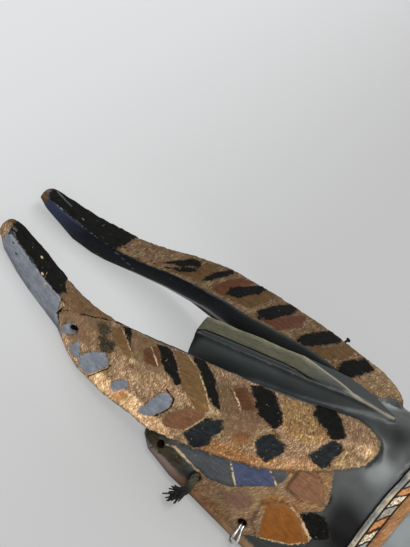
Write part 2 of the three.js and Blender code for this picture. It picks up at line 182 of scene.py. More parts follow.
FAR_HORN = {
    "crust": [[
        (86, 1), (83, .56), (82, .08), (80, -.2), (74, -.8), (70, -1), (65, -1.4), (-20, -1.4),
        (-60, -1.6), (-84, -1.4), (-86, -.51), (-86, .65), (-81, .6), (-67, 1.3), (0, 1), (60, 1),
    ], FAR_TIP_END],
    "amber": [
        [(52, .86), (43, .5), (42, .16), (36, .1), (34, .4), (40, .8)],
        [(22, .84), (21, .6), (6, .05), (0, .05), (2, .4), (8, .8)],
        [(-26, .95), (-33, .85), (-44, .3), (-46, 0), (-52, .05), (-48, .6), (-38, .98)],
    ],
    "russet": [
        [(30, .8), (27, .45), (20, .1), (15, .1), (17, .5), (24, .85)],
        [(2, .9), (-5, .82), (-14, .35), (-20, .1), (-21, .5), (-12, .95)],
    ],
    "rose": [],
    "coal": [],
    "black": [
        [(135, .02), (134, .8), (132.5, 1), (85, 1.1), (83, .56), (82, .08), (86, .02)],
        [(61, .71), (49, .18), (45, .2), (43, .35), (52, .62)],
        [(58, .84), (50, .62), (44, .42), (43, .6), (50, .84)],
        [(73.5, .9), (72.5, .86), (71.5, .92), (72, 1), (73, 1)],
        [(38, .75), (35, .38), (28, 0), (26, .15), (30, .4), (37, .76)],
        [(23, .82), (23, .57), (9, 0), (7, .08), (8, .31), (15, .68)],
        [(3, .76), (-2, .41), (-10, 0), (-15, 0), (-13, .31), (-5, .8), (0, .93)],
        [(-22, .94), (-24, .69), (-36, 0), (-43, 0), (-42, .27), (-31, .87), (-27, .98)],
        [(-47, .78), (-57, .06), (-65, .22), (-58, .8), (-50, 1.4), (-48, .94)],
    ],
    "moss": [],
    "steel": [[(132, -.03), (131, -1.1), (68, -1.1), (70, -1), (74, -.8), (80, -.2), (82, 0)]],
}
OUTER_SIDE = -0.05

# Paint and chisel work on the temples below the horns. A corner is (y, z).
TEMPLE = {
    "crust": [[
        (-28, 20), (-34.5, 19), (-47, 26), (-62, 43), (-63, 48), (-60, 54), (-58, 64), (-72, 72), (-80, 64),
        (-85, 60), (-88, 52), (-81, 44), (-95, 38), (-90, 29), (-77, 18), (-70, 8), (-54.5, 7), (-36, 7),
        (-31, 12),
    ]],
    "panel": [
        [(-8, 17), (-10, 28), (-22, 33), (-33, 39), (-36, 34), (-48, 28), (-42, 24), (-33, 20.6),
         (-25, 19.8), (-18, 19.4), (-12, 18.4)],
        [(-53, 46.4), (-52, 57), (-59, 57), (-62.4, 49), (-62.2, 44.6)],
    ],
    "indigo": [
        [(-35, 35.6), (-44, 49), (-52.5, 46.2), (-62, 43.5), (-48, 28)],
    ],
    "rose": [[(-64, 55.5), (-71, 61.5), (-79, 60), (-85, 55.5), (-74.5, 49), (-66, 47)]],
    "blush": [[(-48, 20.7), (-50, 25), (-54, 29), (-58, 29), (-61, 26), (-59, 21), (-54, 16.5)]],
    "ochre": [[
        (-65, 37), (-70, 39), (-72, 42), (-82, 42.4), (-90, 40), (-95, 38), (-90, 29), (-77, 18),
        (-71, 26.5),
    ]],
    # This dark patch is painted shade in the notch beside the ochre ear's edge
    "black": [[(-81, 43), (-86, 50.5), (-92, 51), (-102, 44.6), (-96, 38)]],
    "moss": [[(5, 5), (5, 14), (-6, 12.5), (-12, 16.2), (-19, 17), (-24, 17), (-23, 13), (-19, 11),
              (-12, 9), (-3, 6)]],
    "line": [[(-6, 12.6), (-7, 14.4), (-12, 18), (-19, 19), (-24, 19), (-30, 19.6), (-30, 18),
              (-19, 17.6), (-12, 16.8)]],
}

# Painted light on the body paint: centre, radius, and strength, which is above 0 for a painted highlight and
# below 0 for painted shade
PAINTED_LIGHT_SPOTS = [
    ((-31, -93, 81), 10, 0.65),
    ((17, -80, 86), 7, 1.4),
    ((-9, -90, 91), 10, -0.55),
    ((-46, -93, 60), 11, -0.45),
    ((-50, -106, 52), 14, -1.0),
]

# Soft changes of tone in the chiselled wood: outline, strength, and hue from -1, olive, to 1, orange
NEAR_TONES = [
    ([(140, .3), (140, 1.3), (131, 1.3), (131, .4)], 0.45, 0.3),
    ([(91, 1.05), (70, 1.05), (55, .95), (69, .4), (78, -.05), (85, -.1)], 0.65, 0.35),
    ([(-2, .56), (-13, .83), (-24, .33), (-33, .1), (-35, -.3), (-24, -.45), (-14, -.1)], 0.62, 0.15),
    ([(-32, .9), (-44, 1.05), (-48, .6), (-58, .2), (-60, 0), (-58, -.23), (-47, -.14),
      (-38, .15)], 1.15, -1.0),
    ([(-20, -.75), (-24, -.62), (-31, -.62), (-40, -.7), (-45, -.75), (-45, -1.05),
      (-22, -1.05)], 0.95, 1.0),
    ([(-45, -.75), (-50, -.65), (-57, -.66), (-65, -.65), (-72, -.75), (-70, -1.05),
      (-45, -1.05)], 1.2, 0.5),
    ([(82, -.3), (78, .1), (70, .4), (62, .6), (55, .3), (56, -.3), (62, -.5), (72, -.7)], 0.74, 0.15),
    ([(-25, -.44), (-28, -.28), (-33, -.28), (-35, -.47), (-32, -.6)], 0.75, 1.0),
    # A painted highlight at the root end's lower edge
    ([(-76, 0), (-79, .34), (-83, .28), (-85, -.29), (-83, -.44)], 1.7, -0.2),
    # Paler worn wood along the low outer edge, lighter still as painted light from below
    ([(88, -1.1), (80, -.6), (60, -.75), (20, -.6), (-2, -.75), (-10, -1.1)], 2.3, 0.0),
    ([(42, .4), (40, -.6), (20, -.55), (8, -.3), (14, .1), (30, .2)], 1.12, -0.1),
    ([(48, .94), (35, .93), (31.5, .76), (25.4, .22), (24.4, 0), (30.5, -.15), (36.2, -.07),
      (41.4, .22)], 0.72, 0.1),
    ([(31, -.88), (29.2, -.73), (26.1, -.67), (24.3, -.79), (26.1, -.9)], 0.6, 0.9),
]

# The dark paint of the inner sides laps over the front's edge and stops short of the bare tips. Above
# the last place it also fills what no other finish covers
NIGHT_OVERLAP = 0.5
NIGHT_END = 132.0
TIP_PAINT_Y = 84

# Share of the chiselled wood's full lightness on the fronts and on the head, and along the far horn. On the
# fronts and along the far horn this is painted shade, where less light falls.
FRONT_PAINTED_SHADE, HEAD_TONE = 0.66, 0.68
FAR_PAINTED_SHADE = [(-36, 0.4), (-66, 0.625)]

# Evenness of the head's chisel strokes, and the tone below which the near horn's are even too
HEAD_CALM = 0.6
CALM_TONE = 0.8

# The same soft changes of tone on the temples, as (y, z)
TEMPLE_TONES = [
    ([(-32, 18.5), (-43, 28), (-47, 26), (-52, 17.5), (-64, 13), (-64, 7), (-50, 6.4), (-38, 7),
      (-35, 14)], 0.78, 0.0),
    ([(-20, 11), (-25, 17), (-28, 17), (-36, 10), (-44, 13), (-58, 11), (-64, 9), (-50, 6), (-29, 6),
      (-22, 7)], 0.85, 0.7),
    ([(8, 5), (8, 16), (-12, 12), (-20, 9), (-20, 6)], 0.6, -0.4),
    ([(-60, 56), (-64, 48), (-80, 44), (-88, 52), (-80, 64), (-66, 66)], 1.15, 0.5),
    ([(-62, 32), (-64, 40), (-74, 45), (-84, 45), (-84, 40), (-72, 38), (-68, 28)], 1.1, 1.0),
]

# Pale lines along some patches: on the near horn as (y, u), and on the temples as (y, z)
HORN_LINES = [
    [(52.4, .8), (49.5, .62), (45.2, .37), (41.2, .18), (38, .03), (36.4, -.1)],
    [(34.8, .63), (29.9, .38), (25.7, .21)],
    [(18, .92), (9, .62), (1, .31), (-8, -.07)],
    [(-9, -.2), (-8, -.64)],
    [(-10, .58), (-19, .2)],
]
TEMPLE_LINES = [
    [(-35, 35.6), (-48, 28)],
    [(-52.5, 46.2), (-62, 43.5)],
    # The last two run along the ochre ear's raised edges and are a painted highlight
    [(-72, 42.5), (-82, 42.8), (-95, 38.4)],
    [(-95, 38), (-90, 29), (-77, 18)],
]
LINE_HALF_WIDTH = 0.4

# Every finish that has outlines or bands of its own, and those whose wood is cut flat
FINISHES = [
    "crust", "blush", "amber", "russet", "rose", "ochre", "moss", "panel", "steel", "indigo", "night", "coal",
    "line", "black",
]
FLAT_FINISHES = ["amber", "russet", "rose", "ochre", "panel", "steel", "indigo", "coal", "black"]

# Cracks in the near horn, the pit on it, and chips in its dark tip: y, u and radius
CRACKS = [
    [(86, .1), (85, -.11), (81, -.07), (82, -.5), (76, -.82), (70, -.99), (67, -.99)],
    [(82, -.58), (80, -.3), (78.8, -.18), (76, -.04), (71.4, .29), (67.4, .47), (62.9, .71), (58.3, .9),
     (54, .97)],
    [(45.8, -1), (46.2, -.88), (44.2, -.7), (42.5, -.52), (42.9, -.39)],
    [(14.6, -.14), (8.4, -.2), (6, -.38), (6.8, -.55), (8, -.72)],
    [(72.9, -.96), (68.7, -1)],
]
PITS = [(69.7, -.385, 2.5)]
CHIPS = [(109.3, .53, .9), (102.4, .07, 1.0), (97.4, -.12, .8)]

# Holes through the rim: place along Y, height above the rim's foot, and radius
RIM_HOLES = [(-6, 8.3, 2.1), (-31, 11.5, 2.7), (-66, 11.5, 2.5)]
RIM_HOLES += [(y, 11.5, 2.3) for y in (-105, -145, -185, -225)]

# The hairline runs level over the forehead and dips beside it. A full turn round the head is 1
HAIRLINE_Y = -103.4
HAIR_LEVEL_TURN, HAIR_DIP_TURN, HAIR_DIP = 0.1, 0.075, 6.7

# The hairline's grooves and its one ridge: place, height and half width, in millimetres
HAIR_RELIEF = [(0, -0.8, 0.7), (-2.2, 0.45, 0.8), (-3.6, -0.5, 0.5), (-8.2, -0.5, 0.6)]
CELL_LENGTH = 5.4
FACE_BELOW_HAIR = 14.5
FOREHEAD_END_Y = -150
SNOUT_Y = -186
CHIN_Y = -322
JAW_START_Y = -257
MOUTH_START_Y = -262
MOUTH_Z = 35

# Painted chevrons over the nose, where the photograph shows nothing: finish, and where each runs in Y
NOSE_CHEVRON = 0.7
NOSE_BANDS = [
    ("steel", -192, -186), ("amber", -203, -194), ("rose", -222, -214), ("amber", -243, -235),
    ("steel", -250, -245),
]
FAR_AWAY = 12.0

# Relief in millimetres: unevenness of the chisel strokes, depth of the pit, and the height below which
# the rim's foot stays flat
STROKE_HEIGHT = 0.11
PIT_DEPTH = 1.7
RIM_FOOT_Z = 1.2


def track(rows, places):
    """Values at the places, on the smooth line through the rows, as the solids were drawn."""
    table = np.array(sorted(rows), float)
    knots, values = table[:, 0], table[:, 1:]
    places = np.clip(np.asarray(places, float), knots[0], knots[-1])
    after = np.clip(np.searchsorted(knots, places, side="right"), 1, len(knots) - 1)
    start, stop = after - 1, after
    before = np.where(start > 0, start - 1, stop)
    beyond = np.where(stop < len(knots) - 1, np.minimum(stop + 1, len(knots) - 1), start)
    p = (places - knots[start]) / (knots[stop] - knots[start])
    half = (knots[stop] - knots[start]) / 2
    w0 = half / (knots[start] - knots[before])
    w1 = half / (knots[beyond] - knots[stop])
    weights = [
        -w0 * p**3 + 2 * w0 * p**2 - w0 * p,
        (1 + w0) * p**3 + (-1.5 - 2 * w0) * p**2 + (-0.5 + w0) * p + 1,
        (-1 - w1) * p**3 + (1.5 + w1) * p**2 + 0.5 * p,
        w1 * p**3 - w1 * p**2,
    ]
    rows_used = [before, start, stop, beyond]
    return sum(w[:, None] * values[r] for w, r in zip(weights, rows_used)).T


def smooth(low, high, value):
    """0 below low, 1 above high, and a soft step between."""
    t = np.clip((value - low) / (high - low), 0, 1)
    return t * t * (3 - 2 * t)


def off_line(x, y, line):
    """Distance to an open line, in millimetres."""
    best = np.full(len(x), 1e6)
    for (ax, ay), (bx, by) in zip(line, line[1:]):
        ex, ey = bx - ax, by - ay
        t = np.clip(((x - ax) * ex + (y - ay) * ey) / max(ex * ex + ey * ey, 1e-9), 0, 1)
        best = np.minimum(best, np.hypot(x - ax - t * ex, y - ay - t * ey))
    return best


def inside(x, y, outline):
    """Distance to a closed outline, in millimetres, positive inside it."""
    closed = [*outline, outline[0]]
    within = np.zeros(len(x), bool)
    for (ax, ay), (bx, by) in zip(closed, closed[1:]):
        if ay != by:
            within ^= ((ay > y) != (by > y)) & (x < (bx - ax) * (y - ay) / (by - ay) + ax)
    gap = off_line(x, y, closed)
    return np.where(within, gap, -gap)


def ripple(points, size, seed, waves=20):
    """A smooth unevenness with bumps of about the given size, mostly between -1 and 1."""
    chance = np.random.default_rng(SEED + seed)
    turned = chance.normal(size=(waves, 3))
    length = np.linalg.norm(turned, axis=1)[:, None]
    turned *= (2 * math.pi / size) * chance.uniform(0.6, 1.5, (waves, 1)) / length
    phase = chance.uniform(0, 2 * math.pi, waves)
    total = np.zeros(len(points))
    for wave, start in zip(turned, phase):
        total += np.sin(points @ wave + start)
    return total / math.sqrt(waves / 2)


def level(rows, y):
    """Values along Y, on the straight lines between the rows, which start at the horn tips' end."""
    return np.interp(y, *zip(*rows[::-1]))


def horn_reach(y):
    """How close to the horn's section a point of the horn lies. Other surfaces come near it lower down."""
    return np.where(y > 12, 4.0, 1.9)


def horn_corners(y, swell=1.0):
    """Corners (x, z) of the horn's section along Y, with the finished horn's swell or a share of it."""
    inner_x, inner_z, outer_x, outer_z, low_x, low_z, low_in_z = track(HORN, y)
    inner_x -= swell * level(INNER_SWELL, y)
    low_x += swell * level(OUTER_SWELL, y)
    return {
        "outer": (outer_x, outer_z),
        "inner": (inner_x, inner_z),
        "low_inner": (inner_x + LOW_INNER_SHARE * (outer_x - inner_x), low_in_z),
        "low_outer": (low_x, low_z),
    }


def horn_outline(marks):
    """Marks (y, u) on a horn as points (y, way) in millimetres."""
    y, u = np.array(marks, float).T
    corners = horn_corners(y)
    front, side, inner = (
        np.hypot(*np.subtract(corners[stop], corners[start]))
        for start, stop in (("outer", "inner"), ("outer", "low_outer"), ("inner", "low_inner"))
    )
    way = np.where(u < 0, u * side, np.where(u > 1, front + (u - 1) * inner, u * front))
    return np.stack([y, way], axis=1)


def far_patches():
    """The far horn's patches. Its outer side, out of the photograph's sight, repeats the near one's."""
    return {
        name: own + [marks for marks in NEAR_HORN[name] if max(u for _, u in marks) < OUTER_SIDE]
        for name, own in FAR_HORN.items()
    }


class HornPlace:
    """Where points lie on the horn's section: how far off it, and the way round it in millimetres."""

    def __init__(self, points, swell=1.0):
        x, y, z = np.abs(points[:, 0]), points[:, 1], points[:, 2]
        self.corners = horn_corners(y, swell)
        spans = [("outer", "inner"), ("outer", "low_outer"), ("inner", "low_inner"),
                 ("low_outer", "low_inner")]
        gaps, ways, lengths = [], [], []
        for start, stop in spans:
            (ax, az), (bx, bz) = self.corners[start], self.corners[stop]
            length = np.hypot(bx - ax, bz - az)
            t = ((x - ax) * (bx - ax) + (z - az) * (bz - az)) / length**2
            held = np.clip(t, 0, 1)
            gaps.append(np.hypot(x - ax - held * (bx - ax), z - az - held * (bz - az)))
            ways.append(np.clip(t, 0, 1.1) * length)
            lengths.append(length)
        self.front, self.side = lengths[:2]
        self.gap = np.min(gaps, axis=0)
        self.way = np.choose(np.argmin(gaps, axis=0), [
            ways[0], -ways[1], self.front + ways[2], -self.side - ways[3],
        ])


def swollen(points):
    """Points of the plain horns moved in x to their full form. The flat fronts' outer ridge stays."""
    x, y, z = np.abs(points[:, 0]), points[:, 1], points[:, 2]
    plain = HornPlace(points, swell=0.0)
    (outer_x, outer_z), (inner_x, _) = plain.corners["outer"], plain.corners["inner"]
    (low_x, low_z), (low_inner_x, _) = plain.corners["low_outer"], plain.corners["low_inner"]
    inward = np.clip((outer_x - x) / (outer_x - inner_x), 0, 1)
    down = np.clip((outer_z - z) / (outer_z - low_z), 0, 1)
    outward = np.minimum(down, np.clip((x - low_inner_x) / (low_x - low_inner_x), 0, 1))
    moved = x - inward * level(INNER_SWELL, y) + outward * level(OUTER_SWELL, y)
    return np.where(plain.gap < horn_reach(y), np.sign(points[:, 0]) * moved, points[:, 0])


def rim_height(y):
    return RIM_LIFT * smooth(-150, -70, y)


def head_place(points):
    """How far out of the head's arch points lie (1 on it), and their turn round it."""
    x, y, z = points.T
    half_width, height, square = track(HEAD, y)
    foot = rim_height(y) + RIM_BAND
    across = (np.abs(x) / half_width) ** (square / 2)
    rise = (np.maximum(z - foot, 0) / (height - foot)) ** (square / 2)
    out = np.hypot(across, rise) ** (2 / square)
    turn = np.arctan2(rise, np.sign(x) * across) / (2 * math.pi)
    return out, turn


class Surface:
    """Which part of the carving each point lies on, and its distances to the patches and cuts there."""

    def __init__(self, points):
        self.x, self.y, self.z = x, y, z = points.T
        self.horn = HornPlace(points)
        self.out, self.turn = head_place(points)
        self.half_width = track(HEAD, y)[0]
        gap, head_gap = self.horn.gap, np.abs(self.out - 1) * self.half_width
        self.on_horn = (y > HORN_ROOT_Y) & (gap < horn_reach(y)) & (gap < head_gap + 0.3)
        self.below_horn = self.on_horn & (self.horn.way < -self.horn.side) & (head_gap < 5) & (y < 0)
        self.crest_half, self.crest_top = track(CREST, np.clip(y, CREST_FOOT_Y, CREST_END_Y))
        beside = (np.abs(x) < self.crest_half + 2.5) & (self.out > ABOVE_HEAD)
        self.on_crest = ~self.on_horn & beside & (y > CREST_FOOT_Y) & (y < 40)
        head = ~self.on_horn & ~self.on_crest
        self.on_head = head & (self.out > SKIN)
        self.in_hollow = head & (self.out <= SKIN) & (y > JAW_START_Y)
        self.in_jaw = head & (self.out <= SKIN) & (y <= JAW_START_Y)
        self.fields = {name: np.full(len(points), -FAR_AWAY) for name in FINISHES}
        self.crack, self.pit, self.hole = (np.full(len(points), FAR_AWAY) for _ in range(3))
        # Painted shade on the horns' fronts and along the far horn, and a lower share on the head; the tints
        # below add the wood's own tones
        tone = np.where(self.on_horn, np.where(self.horn.way > 0, FRONT_PAINTED_SHADE, 1.0), HEAD_TONE)
        self.shade = np.where(self.on_horn & (x > 0), level(FAR_PAINTED_SHADE, y), tone)
        self.hue = np.zeros(len(points))
        self.calm = np.where(self.on_horn, 0.0, HEAD_CALM)
        # Painted highlights and painted shade on the body paint, as soft spots
        self.sheen = sum(
            power * np.exp(-np.sum((points - place) ** 2, axis=1) / size**2) for place, size, power in PAINTED_LIGHT_SPOTS
        )

    def deepen(self, name, here, gap):
        """Keeps the larger of a finish's old and new distances at some of the points."""
        self.fields[name][here] = np.maximum(self.fields[name][here], gap)

    def tint(self, here, share, strength, hue):
        self.shade[here] *= 1 + share * (strength - 1)
        self.hue[here] += share * hue

    def horn_side(self, side):
        """The points on one horn, with their places along Y and the way round it."""
        here = self.on_horn & ~self.below_horn & (np.sign(self.x) == side)
        return here, self.y[here], self.horn.way[here]

    def paint_horn(self, side, patches):
        here, y, way = self.horn_side(side)
        for name, outlines in patches.items():
            for marks in outlines:
                self.deepen(name, here, inside(y, way, horn_outline(marks)))
        night = way - self.horn.front[here] + NIGHT_OVERLAP
        self.fields["night"][here] = np.minimum(night, NIGHT_END - y)

    def wear_near_horn(self):
        """Tones, chips, scraped lines, cracks and pits, which only the near horn shows."""
        here, y, way = self.horn_side(NEAR)
        for marks, strength, hue in NEAR_TONES:
            share = smooth(-1.6, 1.6, inside(y, way, horn_outline(marks)))
            self.tint(here, share, strength, hue)
            if strength < CALM_TONE:
                self.calm[here] = np.maximum(self.calm[here], share)
        for *spot, radius in CHIPS:
            (spot_y, spot_way), = horn_outline([spot])
            self.deepen("line", here, radius - np.hypot(y - spot_y, way - spot_way))
        for *spot, radius in PITS:
            (spot_y, spot_way), = horn_outline([spot])
            self.pit[here] = np.minimum(self.pit[here], np.hypot(y - spot_y, way - spot_way) - radius)
        for line in HORN_LINES:
            self.deepen("line", here, LINE_HALF_WIDTH - off_line(y, way, horn_outline(line)))
        for line in CRACKS:
            self.crack[here] = np.minimum(self.crack[here], off_line(y, way, horn_outline(line)))

    def fill_tips(self):
        """Dark paint where nothing else covers the horns' upper part."""
        covered = np.max([self.fields[name] for name in FINISHES], axis=0)
        uncovered = self.on_horn & (self.y > TIP_PAINT_Y) & (covered < 0.3)
        self.fields["night"][uncovered] = 1.0

    def paint_temples(self):
        here = (self.on_head | self.below_horn) & (np.abs(self.x) > 0.5 * self.half_width)
        y, z = self.y[here], self.z[here]
        for name, outlines in TEMPLE.items():
            for corners in outlines:
                self.deepen(name, here, inside(y, z, corners))
        for corners, strength, hue in TEMPLE_TONES:
            self.tint(here, smooth(-2.5, 2.5, inside(y, z, corners)), strength, hue)
        for line in TEMPLE_LINES:
            self.deepen("line", here, LINE_HALF_WIDTH - off_line(y, z, line))

    def paint_nose(self):
        here = self.on_head & (self.y < FOREHEAD_END_Y)
        along = self.y[here] + NOSE_CHEVRON * np.abs(self.x[here])
        for name, start, stop in NOSE_BANDS:
            self.deepen(name, here, np.minimum(along - start, stop - along))

    def cut_holes(self):
        for hole_y, height, radius in RIM_HOLES:
            gap = np.hypot(self.y - hole_y, self.z - rim_height(hole_y) - height) - radius
            self.hole = np.where(self.on_horn, self.hole, np.minimum(self.hole, gap))

    def hair(self):
        """Distance from the hairline, which runs level over the forehead and dips beside it."""
        aside = np.maximum(0, (np.abs(self.turn - 0.25) - HAIR_LEVEL_TURN) / HAIR_DIP_TURN)
        hair = self.y - (HAIRLINE_Y - HAIR_DIP * aside**1.6)
        here = self.on_head & (self.y < -90) & (self.y > FOREHEAD_END_Y)
        return np.where(here, hair, np.where(self.y < -140, -80, 80))

    def tooth(self):
        """Distance into the band of teeth between the lips, which open towards the chin."""
        opening = (MOUTH_START_Y - self.y) / (MOUTH_START_Y - CHIN_Y)
        low_lip, high_lip = MOUTH_Z - 2 - 8 * opening, MOUTH_Z + 2 + 5 * opening
        depth = np.minimum(self.z - low_lip, high_lip - self.z)
        return np.where((self.y < MOUTH_START_Y - 4) & (depth > 0), depth - 0.5, -FAR_AWAY)

    def all_fields(self):
        x, y, z, horn = self.x, self.y, self.z, self.horn
        hair = self.hair()
        turned = self.turn * 2 * math.pi * self.half_width
        sharp = [np.abs(self.fields[name]) for name in FINISHES if name not in ("crust", "line")]
        return {
            **self.fields,
            "border": np.min(sharp, axis=0),
            "crack": self.crack,
            "pit": self.pit,
            "hole": self.hole,
            "hair": hair,
            "bare": np.where(self.on_head, 6.0 + rim_height(y) - z, -FAR_AWAY),
            "hollow": np.where(self.in_hollow, 4.0, -4.0),
            "crest": np.where(self.on_crest, 4.0, -4.0),
            # Painted shade on the horns' undersides
            "under": np.where(self.on_horn & ~self.below_horn, -horn.side - horn.way - 1.5, -FAR_AWAY),
            "shade": self.shade,
            "hue": np.clip(self.hue, -1, 1),
            "calm": np.where(self.below_horn, HEAD_CALM, self.calm),
            "sheen": np.where(self.on_horn, 0.0, self.sheen),
            "rubs": np.where(self.on_horn & ((x > 0) | (horn.way > 0.6 * horn.front)), 0.0, 1.0),
            "face": np.where(self.on_head, -hair - FACE_BELOW_HAIR, -FAR_AWAY),
            "snout": np.where(self.on_head, SNOUT_Y - y + 0.5 * np.abs(x), -FAR_AWAY),
            "mouth": np.where(self.in_jaw, 4.0, -4.0),
            "tooth": self.tooth(),
            "crest_near": np.where(self.on_crest, x + self.crest_half - level(CREST_GROOVE, y), FAR_AWAY),
            "crest_far": np.where(self.on_crest, x - level(CREST_LINE, y), -FAR_AWAY),
            "crest_top": np.where(self.on_crest, z - self.crest_top + 1.0, -FAR_AWAY),
            "turn": self.turn,
            "round": np.where(self.on_horn, horn.way,
                              np.where(self.on_crest, x + z - self.crest_top, turned)),
        }


def surface_fields(points):
    """Distances to each painted or cut patch and other places on the carving, for each point."""
    surface = Surface(points)
    surface.paint_horn(NEAR, NEAR_HORN)
    surface.paint_horn(FAR, far_patches())
    surface.wear_near_horn()
    surface.fill_tips()
    surface.paint_temples()
    surface.paint_nose()
    surface.cut_holes()
    return surface.all_fields()


def sharp_edges(mesh):
    """Points along the sharp outer edges and along the sharp inner creases of a mesh."""
    shape = bmesh.new()
    shape.from_mesh(mesh)
    ridges, creases = [], []
    for edge in shape.edges:
        if not edge.is_manifold:
            continue
        angle = edge.calc_face_angle_signed()
        if abs(angle) < math.radians(24):
            continue
        start, stop = (v.co for v in edge.verts)
        count = max(2, int((stop - start).length / (0.6 * MM)))
        found = ridges if angle > 0 else creases
        found.extend(start.lerp(stop, i / count) for i in range(count + 1))
    shape.free()
    return ridges, creases


def distance_to(points, marks):
    tree = kdtree.KDTree(len(marks))
    for i, mark in enumerate(marks):
        tree.insert(mark, i)
    tree.balance()
    return np.array([tree.find(p)[2] for p in points]) / MM


def read_rows(items, key, width, kind=np.float32):
    """One value of each of a mesh's items, as rows of numbers."""
    flat = np.empty(len(items) * width, kind)
    items.foreach_get(key, flat)
    return flat.reshape(-1, width)


def vertex_places(mesh):
    return read_rows(mesh.vertices, "co", 3).astype(float)


def set_places(mesh, places):
    mesh.vertices.foreach_set("co", places.astype(np.float32).ravel())
    mesh.update()


def relax(places, edges, weight, rounds):
    """Moves each point part of the way to the middle of its neighbours, over and over."""
    a, b = edges.T
    count = len(places)
    share = 1 / np.maximum(np.bincount(a, minlength=count) + np.bincount(b, minlength=count), 1)
    for _ in range(rounds):
        for axis in range(3):
            line = places[:, axis]
            total = np.bincount(a, line[b], count) + np.bincount(b, line[a], count)
            places[:, axis] = line + weight * (total * share - line)
    return places


def design(places):
    """Blender's metres as the carving's millimetres."""
    points = places / MM
    points[:, 1] -= ORIGIN_Y
    return points


def new_object(name, mesh):
    thing = bpy.data.objects.new(name, mesh)
    bpy.context.scene.collection.objects.link(thing)
    return thing


def modified(name, mesh, kind, weights=None, **settings):
    """A new mesh from a mesh and one modifier, which may go by a weight at each point."""
    work = new_object(name, mesh)
    if weights is not None:
        group = work.vertex_groups.new(name="weights")
        for value in np.unique(weights):
            group.add(np.flatnonzero(weights == value).tolist(), float(value), "REPLACE")
        settings["vertex_group"] = group.name
    step = work.modifiers.new("step", kind)
    for key, value in settings.items():
        setattr(step, key, value)
    ready = work.evaluated_get(bpy.context.evaluated_depsgraph_get())
    made = bpy.data.meshes.new_from_object(ready)
    bpy.data.objects.remove(work)
    return made


def triangle_count(mesh):
    return sum(len(face.vertices) - 2 for face in mesh.polygons)


def brought_out(places):
    """The carving's points with the horns' tips and edges and the rim's top corners at full reach."""
    reach = smooth(HORN_TIP_Y - 12, HORN_TIP_Y - 1, design(places)[:, 1])
    places += reach[:, None] * np.array(TIP_STRETCH) * MM
    x, y, z = design(places).T
    corner = smooth(-10, -2, y) * smooth(40, 50, np.abs(x)) * smooth(16, 8, z)
    places[:, 0] += np.sign(x) * corner * CORNER_STRETCH * MM
    horns = y > SWELL_START_Y
    places[horns, 0] = swollen(design(places[horns])) * MM
    return places


def carve(sizes):
    """The mask's solid in fine even faces, with its chisel work cut in."""
    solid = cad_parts["mask"].data.copy()
    shape = bmesh.new()
    shape.from_mesh(solid)
    bmesh.ops.remove_doubles(shape, verts=shape.verts, dist=1e-6)
    shape.to_mesh(solid)
    shape.free()
    ridges, creases = sharp_edges(solid)
    mesh = modified("even_faces", solid, "REMESH", mode="VOXEL", voxel_size=sizes.face_size)
    places = vertex_places(mesh)
    edges = read_rows(mesh.edges, "vertices", 2, np.int32)
    to_ridge = distance_to(places, ridges)
    places = relax(places, edges, 0.55 * smooth(0.4, 4.0, to_ridge), sizes.smoothing)
    tip = smooth(HORN_TIP_Y - 8, HORN_TIP_Y - 3, design(places)[:, 1])
    places = relax(places, edges, 0.5 * tip, 20)
    places = relax(places, edges, np.full(len(places), 0.35), 3)
    places = brought_out(places)
    set_places(mesh, places)
    points = design(places)
    fields = surface_fields(points)
    depth = relief_depth(points, fields, sizes, smooth(0, 2.5, to_ridge))
    normals = read_rows(mesh.vertex_normals, "vector", 3).astype(float)
    set_places(mesh, places + normals * (depth * MM)[:, None])
    hidden = (fields["hollow"] > 0) | (points[:, 2] < 6) | (fields["under"] > 1)
    weights = np.where(hidden, 1.0, 0.25)
    ratio = min(1.0, sizes.face_limit / triangle_count(mesh))
    mesh = modified("fewer_faces", mesh, "DECIMATE", weights, ratio=ratio, vertex_group_factor=1.0)
    return mesh, ridges, creases


def bell(distance, width):
    return np.exp(-(distance / width) ** 2)


def relief_depth(points, fields, sizes, off_ridge):
    """How far each point moves out of the surface, in millimetres. It moves less on the ridges."""
    crust = smooth(-0.5, 0.5, fields["crust"])
    for name in FLAT_FINISHES:
        crust = np.minimum(crust, 1 - smooth(-0.5, 0.5, fields[name]))
    stroke = ripple(points * [1.6, 1, 1.6], 3.6, 1) + 0.7 * ripple(points, 2.3, 2)
    depth = crust * (-sizes.crust_depth / MM + STROKE_HEIGHT * stroke * (0.35 + 0.65 * off_ridge))
    depth += 0.15 * ripple(points, 34, 3) + 0.04 * ripple(points, 11, 4)
    depth -= sizes.crack_depth / MM * bell(fields["crack"], 0.7)
    depth -= PIT_DEPTH * smooth(0.4, -0.9, fields["pit"])
    tool = np.abs(ripple(points * [1, 0.45, 1], 12, 5))
    depth += np.where(fields["hollow"] > 0, 0.5 * tool, 0)
    hair = fields["hair"]
    for place, height, width in HAIR_RELIEF:
        depth += height * bell(hair - place, width)
    crackled = smooth(-8.6, -9.4, hair) * smooth(-15.2, -14.2, hair)
    depth += crackled * (0.35 + 0.16 * stroke)
    near, drop = fields["crest_near"], fields["crest_top"]
    groove = 0.6 * bell(near, 0.6) * smooth(-1.8, -1.2, drop)
    shoulder = 0.25 * np.clip(-near, 0, 5) * smooth(-10, -1, drop)
    depth -= (groove + shoulder) * smooth(-50, -36, points[:, 1])
    return np.where(points[:, 2] < RIM_FOOT_Z, np.minimum(depth, 0.1), depth)


